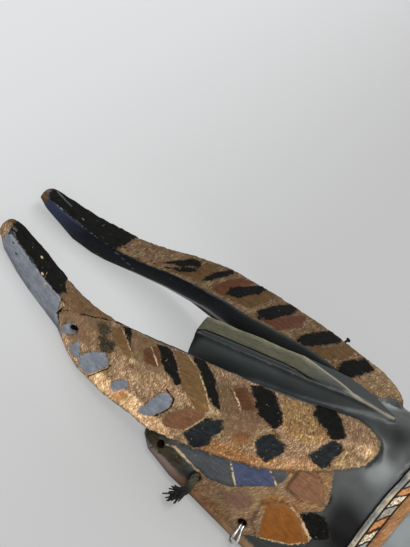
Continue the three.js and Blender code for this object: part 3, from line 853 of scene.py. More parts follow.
class Nodes:
    """Adds nodes to a material or a group, and joins them."""

    def __init__(self, tree):
        self.tree = tree

    def add(self, kind, inputs=None, **settings):
        node = self.tree.nodes.new(kind)
        for key, value in settings.items():
            setattr(node, key, value)
        for key, value in (inputs or {}).items():
            self.join(value, node.inputs[key])
        return node

    def join(self, value, socket):
        if isinstance(value, bpy.types.NodeSocket):
            self.tree.links.new(value, socket)
        else:
            socket.default_value = value

    def math(self, operation, a, b=0.0, c=0.0):
        node = self.add("ShaderNodeMath", operation=operation)
        for value, socket in zip((a, b, c), node.inputs):
            self.join(value, socket)
        return node.outputs[0]

    def times(self, value, *others):
        """The product of all the values."""
        for other in others:
            value = self.math("MULTIPLY", value, other)
        return value

    def step(self, value, low, high):
        """0 below low and 1 above high, or the other way round."""
        kind = self.add("ShaderNodeMapRange", interpolation_type="SMOOTHSTEP")
        for value_in, key in ((value, "Value"), (low, "From Min"), (high, "From Max")):
            self.join(value_in, kind.inputs[key])
        return kind.outputs["Result"]

    def mix(self, share, a, b, blend="MIX"):
        node = self.add("ShaderNodeMix", data_type="RGBA", blend_type=blend)
        self.join(share, node.inputs["Factor"])
        self.join(a, node.inputs["A"])
        self.join(b, node.inputs["B"])
        return node.outputs["Result"]

    def blend(self, share, a, b):
        node = self.add("ShaderNodeMix", data_type="FLOAT")
        for value, place in ((share, 0), (a, 2), (b, 3)):
            self.join(value, node.inputs[place])
        return node.outputs[0]

    def noise(self, vector, scale, detail=2.0, roughness=0.5, distortion=0.0):
        node = self.add("ShaderNodeTexNoise", {
            "Vector": vector, "Scale": scale, "Detail": detail, "Roughness": roughness,
            "Distortion": distortion,
        })
        return node.outputs["Fac"]

    def attribute(self, name, output="Fac"):
        return self.add("ShaderNodeAttribute", attribute_name=name).outputs[output]

    def ramp(self, value, stops, interpolation="LINEAR"):
        node = self.add("ShaderNodeValToRGB", {"Fac": value})
        node.color_ramp.interpolation = interpolation
        points = node.color_ramp.elements
        while len(points) < len(stops):
            points.new(0.5)
        for point, (place, colour) in zip(points, stops):
            point.position = place
        for point, (place, colour) in zip(points, stops):
            point.color = colour
        return node.outputs["Color"]

    def stretch(self, vector, sizes, turn=0.0):
        """Turns a vector about Z, then divides it by the sizes."""
        given = {"Vector": vector, "Scale": sizes, "Rotation": (0.0, 0.0, turn)}
        return self.add("ShaderNodeMapping", given, vector_type="TEXTURE").outputs["Vector"]


def new_group(name, inputs, outputs):
    """A shader node group with named sockets: its nodes, its input node and its output node."""
    tree = bpy.data.node_groups.new(name, "ShaderNodeTree")
    for label, kind, default in inputs:
        socket = tree.interface.new_socket(label, in_out="INPUT", socket_type=kind)
        if default is not None:
            socket.default_value = default
    for label, kind in outputs:
        tree.interface.new_socket(label, in_out="OUTPUT", socket_type=kind)
    entry = tree.nodes.new("NodeGroupInput")
    leave = tree.nodes.new("NodeGroupOutput")
    return tree, Nodes(tree), entry.outputs, leave.inputs


FLOAT, VECTOR = "NodeSocketFloat", "NodeSocketVector"
STROKE_TURN = -0.25


def ragged_group():
    """Turns a distance in millimetres into a mask with an uneven edge."""
    tree, nodes, given, put = new_group(
        "ragged edge",
        [("Vector", VECTOR, None), ("Distance", FLOAT, 0.0), ("Jitter", FLOAT, 0.6),
         ("Softness", FLOAT, 0.2)],
        [("Mask", FLOAT)],
    )
    fine = nodes.noise(given["Vector"], 650.0, 3.0, 0.65)
    wide = nodes.noise(given["Vector"], 190.0, 2.0, 0.5)
    both = nodes.math("SUBTRACT", nodes.math("ADD", fine, wide), 1.0)
    moved = nodes.math("MULTIPLY", both, given["Jitter"])
    moved = nodes.math("MULTIPLY_ADD", moved, 3.0, given["Distance"])
    low = nodes.math("MULTIPLY", given["Softness"], -1.0)
    nodes.join(nodes.step(moved, low, given["Softness"]), put["Mask"])
    return tree


def chisel_group():
    """Short side-by-side strokes of a small chisel, with a height and a tone."""
    tree, nodes, given, put = new_group(
        "chisel strokes",
        [("Vector", VECTOR, None), ("Grain", VECTOR, None), ("Length", FLOAT, 2.9), ("Width", FLOAT, 0.7)],
        [("Height", FLOAT), ("Tone", FLOAT)],
    )
    wander = nodes.add("ShaderNodeTexNoise", {"Vector": given["Vector"], "Scale": 85.0, "Detail": 2.0})
    bent = nodes.add("ShaderNodeVectorMath", {0: wander.outputs["Color"], 1: (5.0, 5.0, 0.0),
                                              2: given["Grain"]},
                     operation="MULTIPLY_ADD")
    sizes = nodes.add("ShaderNodeCombineXYZ", {"X": given["Width"], "Y": given["Length"], "Z": 9.0})
    turned = nodes.stretch(bent.outputs[0], sizes.outputs[0], STROKE_TURN)
    cell = nodes.add("ShaderNodeTexVoronoi", {"Vector": turned, "Scale": 1.0})
    edge = nodes.add("ShaderNodeTexVoronoi", {"Vector": turned, "Scale": 1.0}, feature="DISTANCE_TO_EDGE")
    rise = nodes.step(edge.outputs["Distance"], 0.0, 0.28)
    chance = nodes.add("ShaderNodeSeparateXYZ", {"Vector": cell.outputs["Color"]}).outputs["X"]
    fine = nodes.noise(nodes.stretch(bent.outputs[0], (0.5, 2.5, 5.0), STROKE_TURN), 1.0, 2.0, 0.6)
    nodes.join(nodes.math("MULTIPLY_ADD", rise, 0.7, nodes.math("MULTIPLY", fine, 0.3)), put["Height"])
    slow = nodes.noise(given["Vector"], 230.0, 3.0, 0.6)
    tone = nodes.math("MULTIPLY_ADD", chance, 0.2, nodes.math("MULTIPLY", rise, 0.16))
    tone = nodes.math("MULTIPLY_ADD", fine, 0.34, tone)
    nodes.join(nodes.math("MULTIPLY_ADD", slow, 0.34, tone), put["Tone"])
    return tree


def grime_group():
    """Slow changes of tone over the paint, streaks along the grain, and fine specks."""
    tree, nodes, given, put = new_group(
        "grime",
        [("Vector", VECTOR, None), ("Grain", VECTOR, None), ("Scale", FLOAT, 60.0)],
        [("Slow", FLOAT), ("Streaks", FLOAT), ("Specks", FLOAT)],
    )
    nodes.join(nodes.noise(given["Vector"], given["Scale"], 4.0, 0.6), put["Slow"])
    nodes.join(nodes.noise(nodes.stretch(given["Grain"], (7.0, 0.8, 3.0)), 1.0, 3.0, 0.6, 0.4),
               put["Streaks"])
    nodes.join(nodes.noise(given["Vector"], 900.0, 3.0, 0.7), put["Specks"])
    return tree


def srgb(red, green, blue):
    """A colour as a picture shows it, 0 to 255, in Blender's linear scale."""
    parts = [c / 255 for c in (red, green, blue)]
    return tuple(c / 12.92 if c <= 0.04045 else ((c + 0.055) / 1.055) ** 2.4 for c in parts)


def colour_property(name, red, green, blue):
    return FloatVectorProperty(
        name=name, description=f"Colour of the {name.lower()}", subtype="COLOR", size=3, min=0, max=1,
        default=srgb(red, green, blue))


class MaskSizes(bpy.types.PropertyGroup):
    """Sizes of the carved relief."""

    face_size: FloatProperty(
        name="Face size", description="Size of the even faces that the relief is cut in", default=0.0009,
        unit="LENGTH", precision=5)
    smoothing: IntProperty(
        name="Smoothing", description="Rounds of smoothing between the sharp edges", default=45)
    face_limit: IntProperty(name="Face limit", description="Most triangles in the mask", default=192000)
    crust_depth: FloatProperty(
        name="Crust depth", description="How far the chiselled wood lies below the paint", default=0.00035,
        unit="LENGTH", precision=5)
    crack_depth: FloatProperty(
        name="Crack depth", description="Depth of the cracks in the near horn", default=0.0012,
        unit="LENGTH", precision=5)


class MaskColours(bpy.types.PropertyGroup):
    """Colours of the paint layers and the bare wood."""

    body: colour_property("Body paint", 34, 38, 37)
    olive: colour_property("Crest top", 74, 72, 56)
    # Also the colour of painted highlights on the body, the crest and the inner sides
    slate: colour_property("Forehead paint", 104, 110, 109)
    wood: colour_property("Chiselled wood", 156, 126, 96)
    # Also the colour of painted shade under the horns, along patch edges and inside cracks, pits and holes
    wood_dark: colour_property("Dirt in the strokes", 82, 58, 38)
    wood_pale: colour_property("Fresh stroke edges", 200, 172, 136)
    orange: colour_property("Orange wood", 158, 98, 44)
    amber: colour_property("Amber bands", 104, 79, 49)
    russet: colour_property("Russet bands", 104, 66, 46)
    blush: colour_property("Pink wood", 112, 84, 72)
    rose: colour_property("Rose facets", 101, 70, 49)
    ochre: colour_property("Ochre ear", 106, 62, 16)
    moss: colour_property("Moss patches", 46, 42, 31)
    panel: colour_property("Grey temple panel", 52, 55, 58)
    steel: colour_property("Steel-blue paint", 106, 111, 120)
    indigo: colour_property("Indigo paint", 50, 57, 80)
    night: colour_property("Night-blue paint", 7, 10, 16)
    coal: colour_property("Blue-black patches", 22, 25, 27)
    black: colour_property("Black patches", 10, 10, 9)
    # Also the painted highlight along the ochre ear's edges
    line: colour_property("Pale scraped line", 186, 164, 126)
    tooth: colour_property("Teeth", 190, 180, 156)
    cord: colour_property("Plant fibre", 62, 58, 40)
    iron: colour_property("Iron", 36, 36, 38)


def rgba(colour, strength=1.0):
    """A colour for a socket, lightened or darkened."""
    return (*(min(1.0, c * strength) for c in colour), 1.0)


def new_material(name):
    material = bpy.data.materials.new(name)
    material.use_nodes = True
    material.node_tree.nodes.clear()
    nodes = Nodes(material.node_tree)
    shader = nodes.add("ShaderNodeBsdfPrincipled")
    out = nodes.add("ShaderNodeOutputMaterial")
    nodes.join(shader.outputs[0], out.inputs["Surface"])
    return material, nodes, shader


def place_group(nodes, tree, **inputs):
    group = nodes.add("ShaderNodeGroup", node_tree=tree)
    for key, value in inputs.items():
        nodes.join(value, group.inputs[key])
    return group.outputs


# Looks of the flat patches: finish, roughness, share of varnish, unevenness of the edge and its
# softness in millimetres, and how strongly streaks lighten and darken it
PATCH_LOOKS = [
    ("blush", 0.7, 0.0, 1.4, 2.5, 0.2),
    ("moss", 0.7, 0.0, 2.2, 1.0, 0.6),
    ("amber", 0.5, 0.0, 0.35, 0.2, 0.3),
    ("russet", 0.5, 0.0, 0.6, 0.6, 0.3),
    ("rose", 0.5, 0.1, 0.5, 0.4, 0.2),
    ("ochre", 0.4, 0.25, 0.15, 0.25, 0.15),
    ("panel", 0.45, 0.15, 0.5, 0.6, 0.25),
    ("steel", 0.45, 0.25, 0.9, 0.25, 0.2),
    ("indigo", 0.5, 0.1, 0.35, 0.25, 0.2),
    ("night", 0.6, 0.1, 0.6, 0.25, 0.35),
    ("coal", 0.6, 0.1, 1.2, 0.2, 0.45),
    ("black", 0.7, 0.0, 1.1, 0.2, 0.4),
]

# How much lighter the cloudy places of a flat finish are, where it isn't 1.4 times
CLOUD_LIFTS = {"coal": 2.2, "black": 1.8}
# Finishes that take the chiselled wood's tones and its painted shade
SHADED_FINISHES = ("amber", "russet", "blush")

# Glazes that turn the chiselled wood's colour
GREENER, PINKER = (0.92, 0.93, 0.82, 1), (1.0, 0.93, 0.93, 1)
OLIVE, WARM = (0.95, 0.92, 0.68, 1), (1.1, 0.84, 0.6, 1)


def made_once(name, make):
    """A node group by its name, made the first time that it is asked for."""
    return bpy.data.node_groups.get(name) or make()


def effect_groups():
    return {
        "ragged": made_once("ragged edge", ragged_group),
        "chisel": made_once("chisel strokes", chisel_group),
        "grime": made_once("grime", grime_group),
    }


class MaskPaint:
    """The mask's layers of wood and paint, from the bottom one up."""

    def __init__(self, colours, groups):
        self.colours = colours
        self.material, self.nodes, self.shader = new_material("worn painted wood")
        nodes = self.nodes
        self.ragged = groups["ragged"]
        self.place = nodes.add("ShaderNodeTexCoord").outputs["Object"]
        self.grain = nodes.attribute("grain", "Vector")
        self.grime = place_group(nodes, groups["grime"], Vector=self.place, Grain=self.grain, Scale=60.0)
        self.strokes = place_group(nodes, groups["chisel"], Vector=self.place, Grain=self.grain)
        apart = nodes.add("ShaderNodeSeparateXYZ", {"Vector": self.grain}).outputs
        self.along, self.around = apart["X"], apart["Y"]
        self.crest = nodes.step(nodes.attribute("crest"), -1.0, 1.0)
        self.crest_drop = nodes.attribute("crest_top")
        shade = nodes.attribute("shade")
        self.shade = nodes.add("ShaderNodeCombineXYZ", {"X": shade, "Y": shade, "Z": shade}).outputs[0]
        self.hair = nodes.attribute("hair")
        turn = nodes.math("ABSOLUTE", nodes.math("SUBTRACT", nodes.attribute("turn"), 0.25))
        self.over_head = nodes.step(turn, 0.19, 0.182)
        self.colour = self.rough = self.gloss = self.height = self.wood = None

    def tone(self, name, strength=1.0):
        return rgba(getattr(self.colours, name), strength)

    def mask(self, name, jitter=0.5, softness=0.25):
        return self.ragged_mask(self.nodes.attribute(name), jitter, softness)

    def ragged_mask(self, distance, jitter, softness):
        tooth = self.nodes.math("MULTIPLY_ADD", self.strokes["Tone"], 3.0 * jitter, distance)
        distance = self.nodes.math("SUBTRACT", tooth, 1.5 * jitter)
        given = {"Vector": self.place, "Distance": distance, "Jitter": jitter, "Softness": softness}
        return place_group(self.nodes, self.ragged, **given)["Mask"]

    def lay(self, share, colour, rough=0.6, gloss=0.0, height=None):
        """Puts a layer on where share is 1: its colour, roughness, share of varnish and height."""
        self.colour = self.nodes.mix(share, self.colour, colour)
        self.rough = self.nodes.blend(share, self.rough, rough)
        self.gloss = self.nodes.blend(share, self.gloss, gloss)
        if height is not None:
            self.height = self.nodes.blend(share, self.height, height)

    def body(self):
        """Dark varnished paint, with a painted highlight down the crest's sides, and soft spots of painted
        highlight and painted shade.
        """
        nodes, tone = self.nodes, self.tone
        slow = nodes.step(self.grime["Slow"], 0.3, 0.7)
        self.colour = nodes.mix(slow, tone("body", 0.75), tone("body", 1.25))
        self.rough = nodes.blend(slow, 0.35, 0.5)
        self.gloss = nodes.blend(slow, 0.9, 0.5)
        self.height = nodes.times(self.grime["Streaks"], 0.1)
        drop = self.crest_drop
        # Painted highlight: a paler band down the crest's sides, where they would catch the light
        side = nodes.times(nodes.step(drop, -18.0, -8.0), nodes.step(drop, -1.5, -5.0), self.crest, 0.6)
        self.lay(side, tone("slate", 0.4), 0.4, 0.8)
        # Painted highlights where the varnish would catch the light, and painted shade where it would not
        sheen = nodes.attribute("sheen")
        self.lay(nodes.step(sheen, 0.0, 1.2), tone("slate", 1.1), 0.35, 0.9)
        self.lay(nodes.step(sheen, 0.0, -0.9), tone("black"), 0.6, 0.1)

    def crest_top(self):
        """Streaked olive paint, painted lighter towards its far edge, painted shade on its far slope, in the
        groove and over its end, and a pale worn line with a painted glint along the far edge.
        """
        nodes, tone, drop = self.nodes, self.tone, self.crest_drop
        near, far = nodes.attribute("crest_near"), nodes.attribute("crest_far")
        # Painted shade on the crest's far slope
        beyond = nodes.times(nodes.step(far, 0.2, 0.8), nodes.step(drop, -4.0, -2.0), self.crest)
        self.lay(beyond, tone("slate", 0.2), 0.6, 0.2)
        streaked = nodes.step(self.grime["Streaks"], 0.3, 0.7)
        # Painted light: the olive is lighter, unevenly, towards the far edge
        shaded_olive = nodes.mix(streaked, tone("olive", 0.6), tone("olive", 1.2))
        lit_olive = nodes.mix(streaked, tone("olive", 1.3), tone("olive", 2.7))
        uneven = nodes.math("MULTIPLY_ADD", self.grime["Slow"], -4.0, nodes.math("ADD", far, 2.0))
        worn = nodes.math("MULTIPLY_ADD", nodes.step(self.along, -50.0, -26.0), 0.8, 0.2)
        top = nodes.times(nodes.step(drop, -0.7, 0.3), nodes.step(near, -0.4, 0.4),
                          nodes.step(far, 0.3, -0.3), worn)
        self.lay(top, nodes.mix(nodes.step(uneven, -5.5, -0.5), shaded_olive, lit_olive), 0.6, 0.2)
        # Painted shade in the groove along the near edge
        groove = nodes.times(nodes.step(nodes.math("ABSOLUTE", near), 0.9, 0.3),
                             nodes.step(drop, -1.2, -0.4), nodes.step(self.along, -46.0, -34.0), self.crest)
        self.lay(groove, tone("body", 0.25), 0.7)
        # A pale line along the far edge: wear, and a painted glint where the edge catches the light
        worn_edge_and_glint = nodes.times(nodes.step(nodes.math("ABSOLUTE", far), 1.3, 0.2),
                             nodes.step(drop, -1.6, 0.0), self.crest, 0.8)
        self.lay(worn_edge_and_glint, tone("tooth", 0.5))
        # Painted shade over the crest's end, below its top
        end = nodes.times(nodes.step(self.along, 15.0, 20.0), nodes.step(drop, -0.5, -2.5), self.crest, 0.85)
        self.lay(end, tone("body", 0.3), 0.6)

    def face(self):
        forehead = self.nodes.mix(self.grime["Slow"], self.tone("slate", 0.85), self.tone("slate", 1.15))
        self.lay(self.mask("face", 0.5, 0.8), forehead, 0.35, 0.9)
        self.lay(self.mask("snout", 0.8, 0.6), self.tone("body"), 0.4, 0.7)

    def bare_wood(self):
        """The dark hollow, painted shade on the horns' undersides, the bare rim, the mouth and the teeth."""
        nodes, tone = self.nodes, self.tone
        inner = nodes.mix(self.grime["Slow"], tone("wood_dark", 0.5), tone("wood_dark", 1.2))
        self.lay(self.mask("hollow"), inner, 0.8, 0.0, nodes.times(self.grime["Streaks"], 0.6))
        # Painted shade on the horns' undersides
        self.lay(self.mask("under", 0.6, 0.8), tone("wood_dark", 0.3), 0.7)
        cloudy = nodes.step(self.grime["Slow"], 0.35, 0.65)
        rim = nodes.mix(cloudy, tone("rose", 0.9), tone("wood", 0.62))
        pinkish = nodes.mix(0.35, tone("blush"), tone("slate"))
        rim = nodes.mix(nodes.step(self.along, -34.0, -14.0), rim, pinkish)
        rim = nodes.mix(nodes.step(self.along, -10.0, 4.0), rim, tone("slate", 0.8))
        self.lay(self.mask("bare", 0.9, 1.6), rim, 0.6, 0.1, nodes.times(self.grime["Streaks"], 0.4))
        self.lay(self.mask("mouth"), tone("russet", 0.5), 0.6)
        self.lay(self.mask("tooth", 0.05, 0.3), tone("tooth"), 0.5)

    def chiselled(self):
        """Tan wood in chisel strokes, with greener, pinker and more orange places, and painted shade on the
        horns' fronts and along the far horn.
        """
        nodes, tone = self.nodes, self.tone
        wood = nodes.ramp(self.strokes["Tone"], [
            (0.3, tone("wood_dark")), (0.42, tone("wood", 0.66)), (0.54, tone("wood")),
            (0.66, tone("wood_pale", 0.9)), (0.8, tone("wood_pale", 1.1)),
        ])
        wood = nodes.mix(nodes.times(nodes.attribute("calm"), 0.5), wood, tone("wood", 0.95))
        spots = nodes.noise(self.place, 60.0, 2.0)
        uneven = nodes.math("MULTIPLY_ADD", nodes.noise(self.place, 150.0, 3.0), 1.6, 0.2)
        hue = nodes.times(nodes.attribute("hue"), uneven)
        for value, low, high, glaze in (
            (spots, 0.5, 0.66, GREENER), (spots, 0.5, 0.36, PINKER), (hue, 0.0, -1.0, OLIVE),
            (hue, 0.0, 1.0, WARM),
        ):
            wood = nodes.mix(nodes.step(value, low, high), wood, glaze, "MULTIPLY")
        # The wood's tones and the painted shade of the fronts and the far horn
        self.wood = nodes.mix(1.0, wood, self.shade, "MULTIPLY")
        self.lay(self.mask("crust", 0.45, 0.2), self.wood, 0.75, 0.0, self.strokes["Height"])

    def patches(self):
        """Flat paint: painted shade along its edges, streaks, cloudy tones, and flecks where the wood shows
        through.
        """
        nodes, tone = self.nodes, self.tone
        # Painted shade along the step at the patches' edges
        cut = nodes.times(nodes.step(nodes.attribute("border"), 0.9, 0.2),
                          nodes.step(self.grime["Specks"], 0.35, 0.6), 0.7)
        self.lay(cut, tone("wood_dark", 0.5), 0.7)
        streaks = nodes.step(self.grime["Streaks"], 0.32, 0.68)
        clouds = nodes.step(nodes.noise(self.place, 300.0, 4.0, 0.7), 0.3, 0.7)
        flecks = nodes.math("MULTIPLY_ADD", self.grime["Specks"], 0.5, self.strokes["Tone"])
        flecks = nodes.times(nodes.step(flecks, 0.97, 1.06), 0.6)
        height = nodes.times(self.grime["Streaks"], 0.3)
        for name, rough, gloss, jitter, softness, streak in PATCH_LOOKS:
            paint = nodes.mix(streaks, tone(name, 1 - streak), tone(name, 1 + streak))
            lift = CLOUD_LIFTS.get(name, 1.4)
            paint = nodes.mix(clouds, paint, (lift, 0.97 * lift, 0.92 * lift, 1), "MULTIPLY")
            if name in SHADED_FINISHES:
                paint = nodes.mix(1.0, paint, self.shade, "MULTIPLY")
            if name == "night":
                # Painted light: the dark inner sides grow paler towards the roots, where more light reaches
                # them
                paint = nodes.mix(nodes.step(self.along, 30.0, -15.0), paint, tone("slate", 0.3))
                paint = nodes.mix(nodes.step(self.along, 98.0, 130.0), paint, tone("indigo", 0.8))
            paint = nodes.mix(flecks, paint, self.wood)
            self.lay(self.mask(name, jitter, softness), paint, rough, gloss, height)
        # Pale lines and chips; along the ochre ear's edges the lines are a painted highlight
        scraped = nodes.times(self.mask("line", 0.25, 0.25), nodes.step(self.grime["Slow"], 0.22, 0.5), 0.85)
        self.lay(scraped, tone("line"), 0.6)

    def strip(self, low, high, soft=0.18):
        """A strip along the hairline, between two distances from it."""
        after = self.nodes.step(self.hair, low - soft, low + soft)
        before = self.nodes.step(self.hair, high + soft, high - soft)
        return self.nodes.times(after, before, self.over_head)

    def hairline(self):
        """A dark groove, a pale line on the raised ridge that is a painted highlight, a band of slanting
        cells and a strip of crackled wood.
        """
        nodes, tone = self.nodes, self.tone
        crackled = nodes.mix(0.3, self.wood, tone("orange", 1.4))
        self.lay(self.strip(-14.6, -8.2, 0.5), crackled, 0.75, 0.1, self.strokes["Height"])
        uneven = nodes.times(nodes.noise(self.place, 260.0, 2.0), 0.5)
        cell_places = nodes.math("DIVIDE", self.around, CELL_LENGTH)
        slant = nodes.math("MULTIPLY_ADD", self.hair, -0.26, cell_places)
        slant = nodes.math("ADD", slant, uneven)
        pick = nodes.math("FRACT", nodes.math("DIVIDE", nodes.math("FLOOR", slant), 3.0))
        cells = nodes.ramp(pick, [
            (0.0, tone("orange", 1.5)), (0.2, tone("tooth", 1.4)), (0.5, tone("slate", 2.0)),
        ], "CONSTANT")
        cells = nodes.mix(nodes.step(self.grime["Specks"], 0.4, 0.62), cells, self.wood)
        edge = nodes.math("ABSOLUTE", nodes.math("SUBTRACT", nodes.math("FRACT", slant), 0.5))
        cells = nodes.mix(nodes.step(edge, 0.33, 0.42), cells, tone("wood_dark", 0.3))
        self.lay(self.strip(-8.0, -3.6), cells, 0.5, 0.2)
        # Painted highlight along the raised ridge
        pale = nodes.mix(nodes.step(self.grime["Slow"], 0.35, 0.65), tone("slate", 0.9), tone("tooth", 0.9))
        self.lay(self.strip(-2.8, -0.6), pale, 0.35, 0.5)
        for place in (-8.2, -3.5):
            self.lay(self.strip(place - 0.5, place + 0.5, 0.2), tone("wood_dark", 0.25), 0.6)
        self.lay(self.strip(-0.55, 0.55, 0.15), tone("night"), 0.4)

    def wear(self):
        """Rubbed ridges, painted shade in the creases, and painted shade inside cracks, pits and holes."""
        nodes, tone = self.nodes, self.tone
        rub = self.ragged_mask(nodes.math("SUBTRACT", 0.35, nodes.attribute("ridge")), 0.5, 0.3)
        rub = nodes.times(rub, nodes.step(self.grime["Slow"], 0.45, 0.6),
                          nodes.math("SUBTRACT", 1.0, self.crest), 0.7)
        self.lay(rub, tone("wood", 0.7), 0.6)
        # Painted shade along the creases
        crease = nodes.math("MULTIPLY_ADD", self.grime["Slow"], 1.5, nodes.attribute("crease"))
        self.lay(nodes.times(nodes.step(crease, 2.4, 0.7), 0.6), tone("body", 0.3), 0.7)
        # Painted shade inside cracks, pits and holes
        dark = nodes.step(nodes.attribute("crack"), 0.7, 0.25)
        for name, low, high in (("pit", 0.4, -0.5), ("hole", 0.4, -0.1)):
            dark = nodes.math("MAXIMUM", dark, nodes.step(nodes.attribute(name), low, high))
        self.lay(dark, tone("wood_dark", 0.06), 0.9)

    def finish(self):
        for layer in (self.body, self.crest_top, self.face, self.bare_wood, self.chiselled, self.patches,
                      self.hairline, self.wear):
            layer()
        nodes, sockets = self.nodes, self.shader.inputs
        bump = nodes.add("ShaderNodeBump", {"Height": self.height, "Strength": 0.8, "Distance": 0.00045})
        nodes.join(self.colour, sockets["Base Color"])
        nodes.join(self.rough, sockets["Roughness"])
        nodes.join(bump.outputs["Normal"], sockets["Normal"])
        nodes.join(self.gloss, sockets["Coat Weight"])
        sockets["Coat Roughness"].default_value = 0.3
        sockets["Specular IOR Level"].default_value = 0.05
        return self.material


def plain_material(name, colour, rough, metal, streak=900.0, dark_end=None):
    """A small fitting's finish, uneven in tone and gloss, and nearly black beyond a place along X."""
    material, nodes, shader = new_material(name)
    place = nodes.add("ShaderNodeTexCoord").outputs["Object"]
    grime = place_group(nodes, effect_groups()["grime"], Vector=place, Grain=place, Scale=streak)
    tone = nodes.mix(nodes.step(grime["Slow"], 0.3, 0.6), rgba(colour, 0.35), rgba(colour))
    if dark_end is not None:
        across = nodes.add("ShaderNodeSeparateXYZ", {"Vector": place}).outputs["X"]
        beyond = nodes.step(across, dark_end + 1.5 * MM, dark_end - 1.0 * MM)
        tone = nodes.mix(beyond, tone, rgba(colour, 0.05))
    nodes.join(tone, shader.inputs["Base Color"])
    nodes.join(nodes.blend(grime["Slow"], 0.7 * rough, 1.3 * rough), shader.inputs["Roughness"])
    bump = nodes.add("ShaderNodeBump", {"Height": grime["Slow"], "Strength": 0.4, "Distance": 0.0002})
    nodes.join(bump.outputs["Normal"], shader.inputs["Normal"])
    shader.inputs["Metallic"].default_value = metal
    return material


def to_blender(point):
    x, y, z = point
    return Vector((x * MM, (y + ORIGIN_Y) * MM, z * MM))


def curve_points(points, count):
    """Points at even steps along a smooth line through the given ones."""
    knots = [Vector(p) for p in points]
    ends = [2 * knots[0] - knots[1], *knots, 2 * knots[-1] - knots[-2]]
    line = []
    for i in range(count):
        place = i / (count - 1) * (len(knots) - 1)
        k = min(int(place), len(knots) - 2)
        t = place - k
        a, b, c, d = ends[k:k + 4]
        line.append(0.5 * (2 * b + (c - a) * t + (2 * a - 5 * b + 4 * c - d) * t**2
                           + (3 * b - a - 3 * c + d) * t**3))
    return line


def line_frames(line):
    """A turning frame at each point of a line, which never twists about it."""
    frames = []
    across = None
    for i, point in enumerate(line):
        ahead = (line[min(i + 1, len(line) - 1)] - line[max(i - 1, 0)]).normalized()
        if across is None:
            across = ahead.orthogonal().normalized()
        across = (across - ahead * across.dot(ahead)).normalized()
        up = ahead.cross(across)
        frames.append((point, across, up, ahead))
    return frames


def sweep(shape, line, radii, sides=8):
    """A round bar along a line of points, closed at both ends."""
    placed = []
    for (point, across, up, ahead), radius in zip(line_frames(line), radii):
        turn = Matrix((across, up, ahead)).transposed().to_4x4()
        placed.append(Matrix.Translation(point) @ turn @ Matrix.Diagonal((radius, radius, radius, 1)))
    ring = bmesh.ops.create_circle(shape, cap_ends=True, segments=sides, radius=1.0)["verts"]
    bmesh.ops.transform(shape, matrix=placed[0], verts=ring)
    edges = list({e for v in ring for e in v.link_edges if all(o in ring for o in e.verts)})
    for previous, following in zip(placed, placed[1:]):
        grown = bmesh.ops.extrude_edge_only(shape, edges=edges)["geom"]
        ring = [g for g in grown if isinstance(g, bmesh.types.BMVert)]
        edges = [g for g in grown if isinstance(g, bmesh.types.BMEdge)]
        bmesh.ops.transform(shape, matrix=following @ previous.inverted(), verts=ring)
    bmesh.ops.contextual_create(shape, geom=edges)


def finished_piece(name, shape, material, node):
    """A piece that stands for one of the solids, which it hides, and is attached to the root body."""
    bmesh.ops.recalc_face_normals(shape, faces=shape.faces)
    mesh = bpy.data.meshes.new(name)
    shape.to_mesh(mesh)
    shape.free()
    mesh.shade_smooth()
    dress(new_object(name, mesh), material, node)


def dress(piece, material, node):
    piece.data.materials.clear()
    piece.data.materials.append(material)
    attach(piece, "root")
    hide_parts(node)


class ANTELOPE_OT_carving(bpy.types.Operator):
    """Carve the mask's relief into its solid and paint it"""

    bl_idname = "antelope_mask.carving"
    bl_label = "Carve and paint the mask"

    def execute(self, context):
        sizes, colours = context.scene.mask_sizes, context.scene.mask_colours
        mesh, ridges, creases = carve(sizes)
        places = vertex_places(mesh)
        points = design(places)
        fields = surface_fields(points)
        ridge = np.minimum(distance_to(places, ridges), FAR_AWAY)
        fields["ridge"] = np.where(fields.pop("rubs") > 0, ridge, FAR_AWAY)
        fields["crease"] = np.minimum(distance_to(places, creases), FAR_AWAY)
        grain = np.stack([points[:, 1], fields.pop("round"), points[:, 2]], axis=1)
        for name, values in fields.items():
            layer = mesh.attributes.new(name, "FLOAT", "POINT")
            layer.data.foreach_set("value", values.astype(np.float32))
        layer = mesh.attributes.new("grain", "FLOAT_VECTOR", "POINT")
        layer.data.foreach_set("vector", grain.astype(np.float32).ravel())
        mesh.shade_smooth()
        mask = new_object("carved_mask", mesh)
        dress(mask, MaskPaint(colours, effect_groups()).finish(), "mask")
        return {"FINISHED"}


CORD_ROUTE = [
    (-45, -30, 13), (-51, -31, 15), (-57, -31, 15), (-62.6, -31, 15),
    (-64.8, -31.8, 12), (-65.8, -32.4, 9.5), (-67.8, -31.6, 8),
]
STRANDS, STRAND_RADIUS, STRAND_OFFSET = 3, 1.25, 1.15
STEPS_PER_TWIST = 17
KNOT_TILTS, KNOT_TURN_RADIUS, KNOT_CORD_RADIUS = (0.3, -0.5), 2.3, 1.6
TUFT_START = (-66.6, -32, 8.4)
TUFT_END = (-75, -27.5, 7.6)
TUFT_REACH = -77.0
FIBRES, FIBRE_SPREAD = 60, 3.8
WIRE_ROUTE = [
    (-65, -68.6, 6), (-64.6, -67.2, 10.6), (-62.5, -66.3, 14), (-58, -66, 15), (-51, -66, 14),
    (-47.5, -66.2, 9), (-49.5, -67, 3.2), (-54, -68.4, 1.5), (-60, -69.6, 1.5), (-63.6, -71, 3),
    (-64.4, -71.9, 6.4), (-63.9, -70.6, 10), (-62.4, -68.2, 14), (-59.5, -67.4, 15.6),
]
WIRE_RADIUS, WIRE_STEPS = 0.75, 90
NAIL_FOOT = (46.5, -44, 68.2)
NAIL_HEAD = (53.4, -46.2, 71.2)
NAIL_SAG = (0, 0, -0.8)

# The nail's head, from its neck up: place along the nail and radius
NAIL_CAP = [(-0.5, 0.9), (-0.2, 1.5), (0.4, 1.5), (0.7, 1.1)]


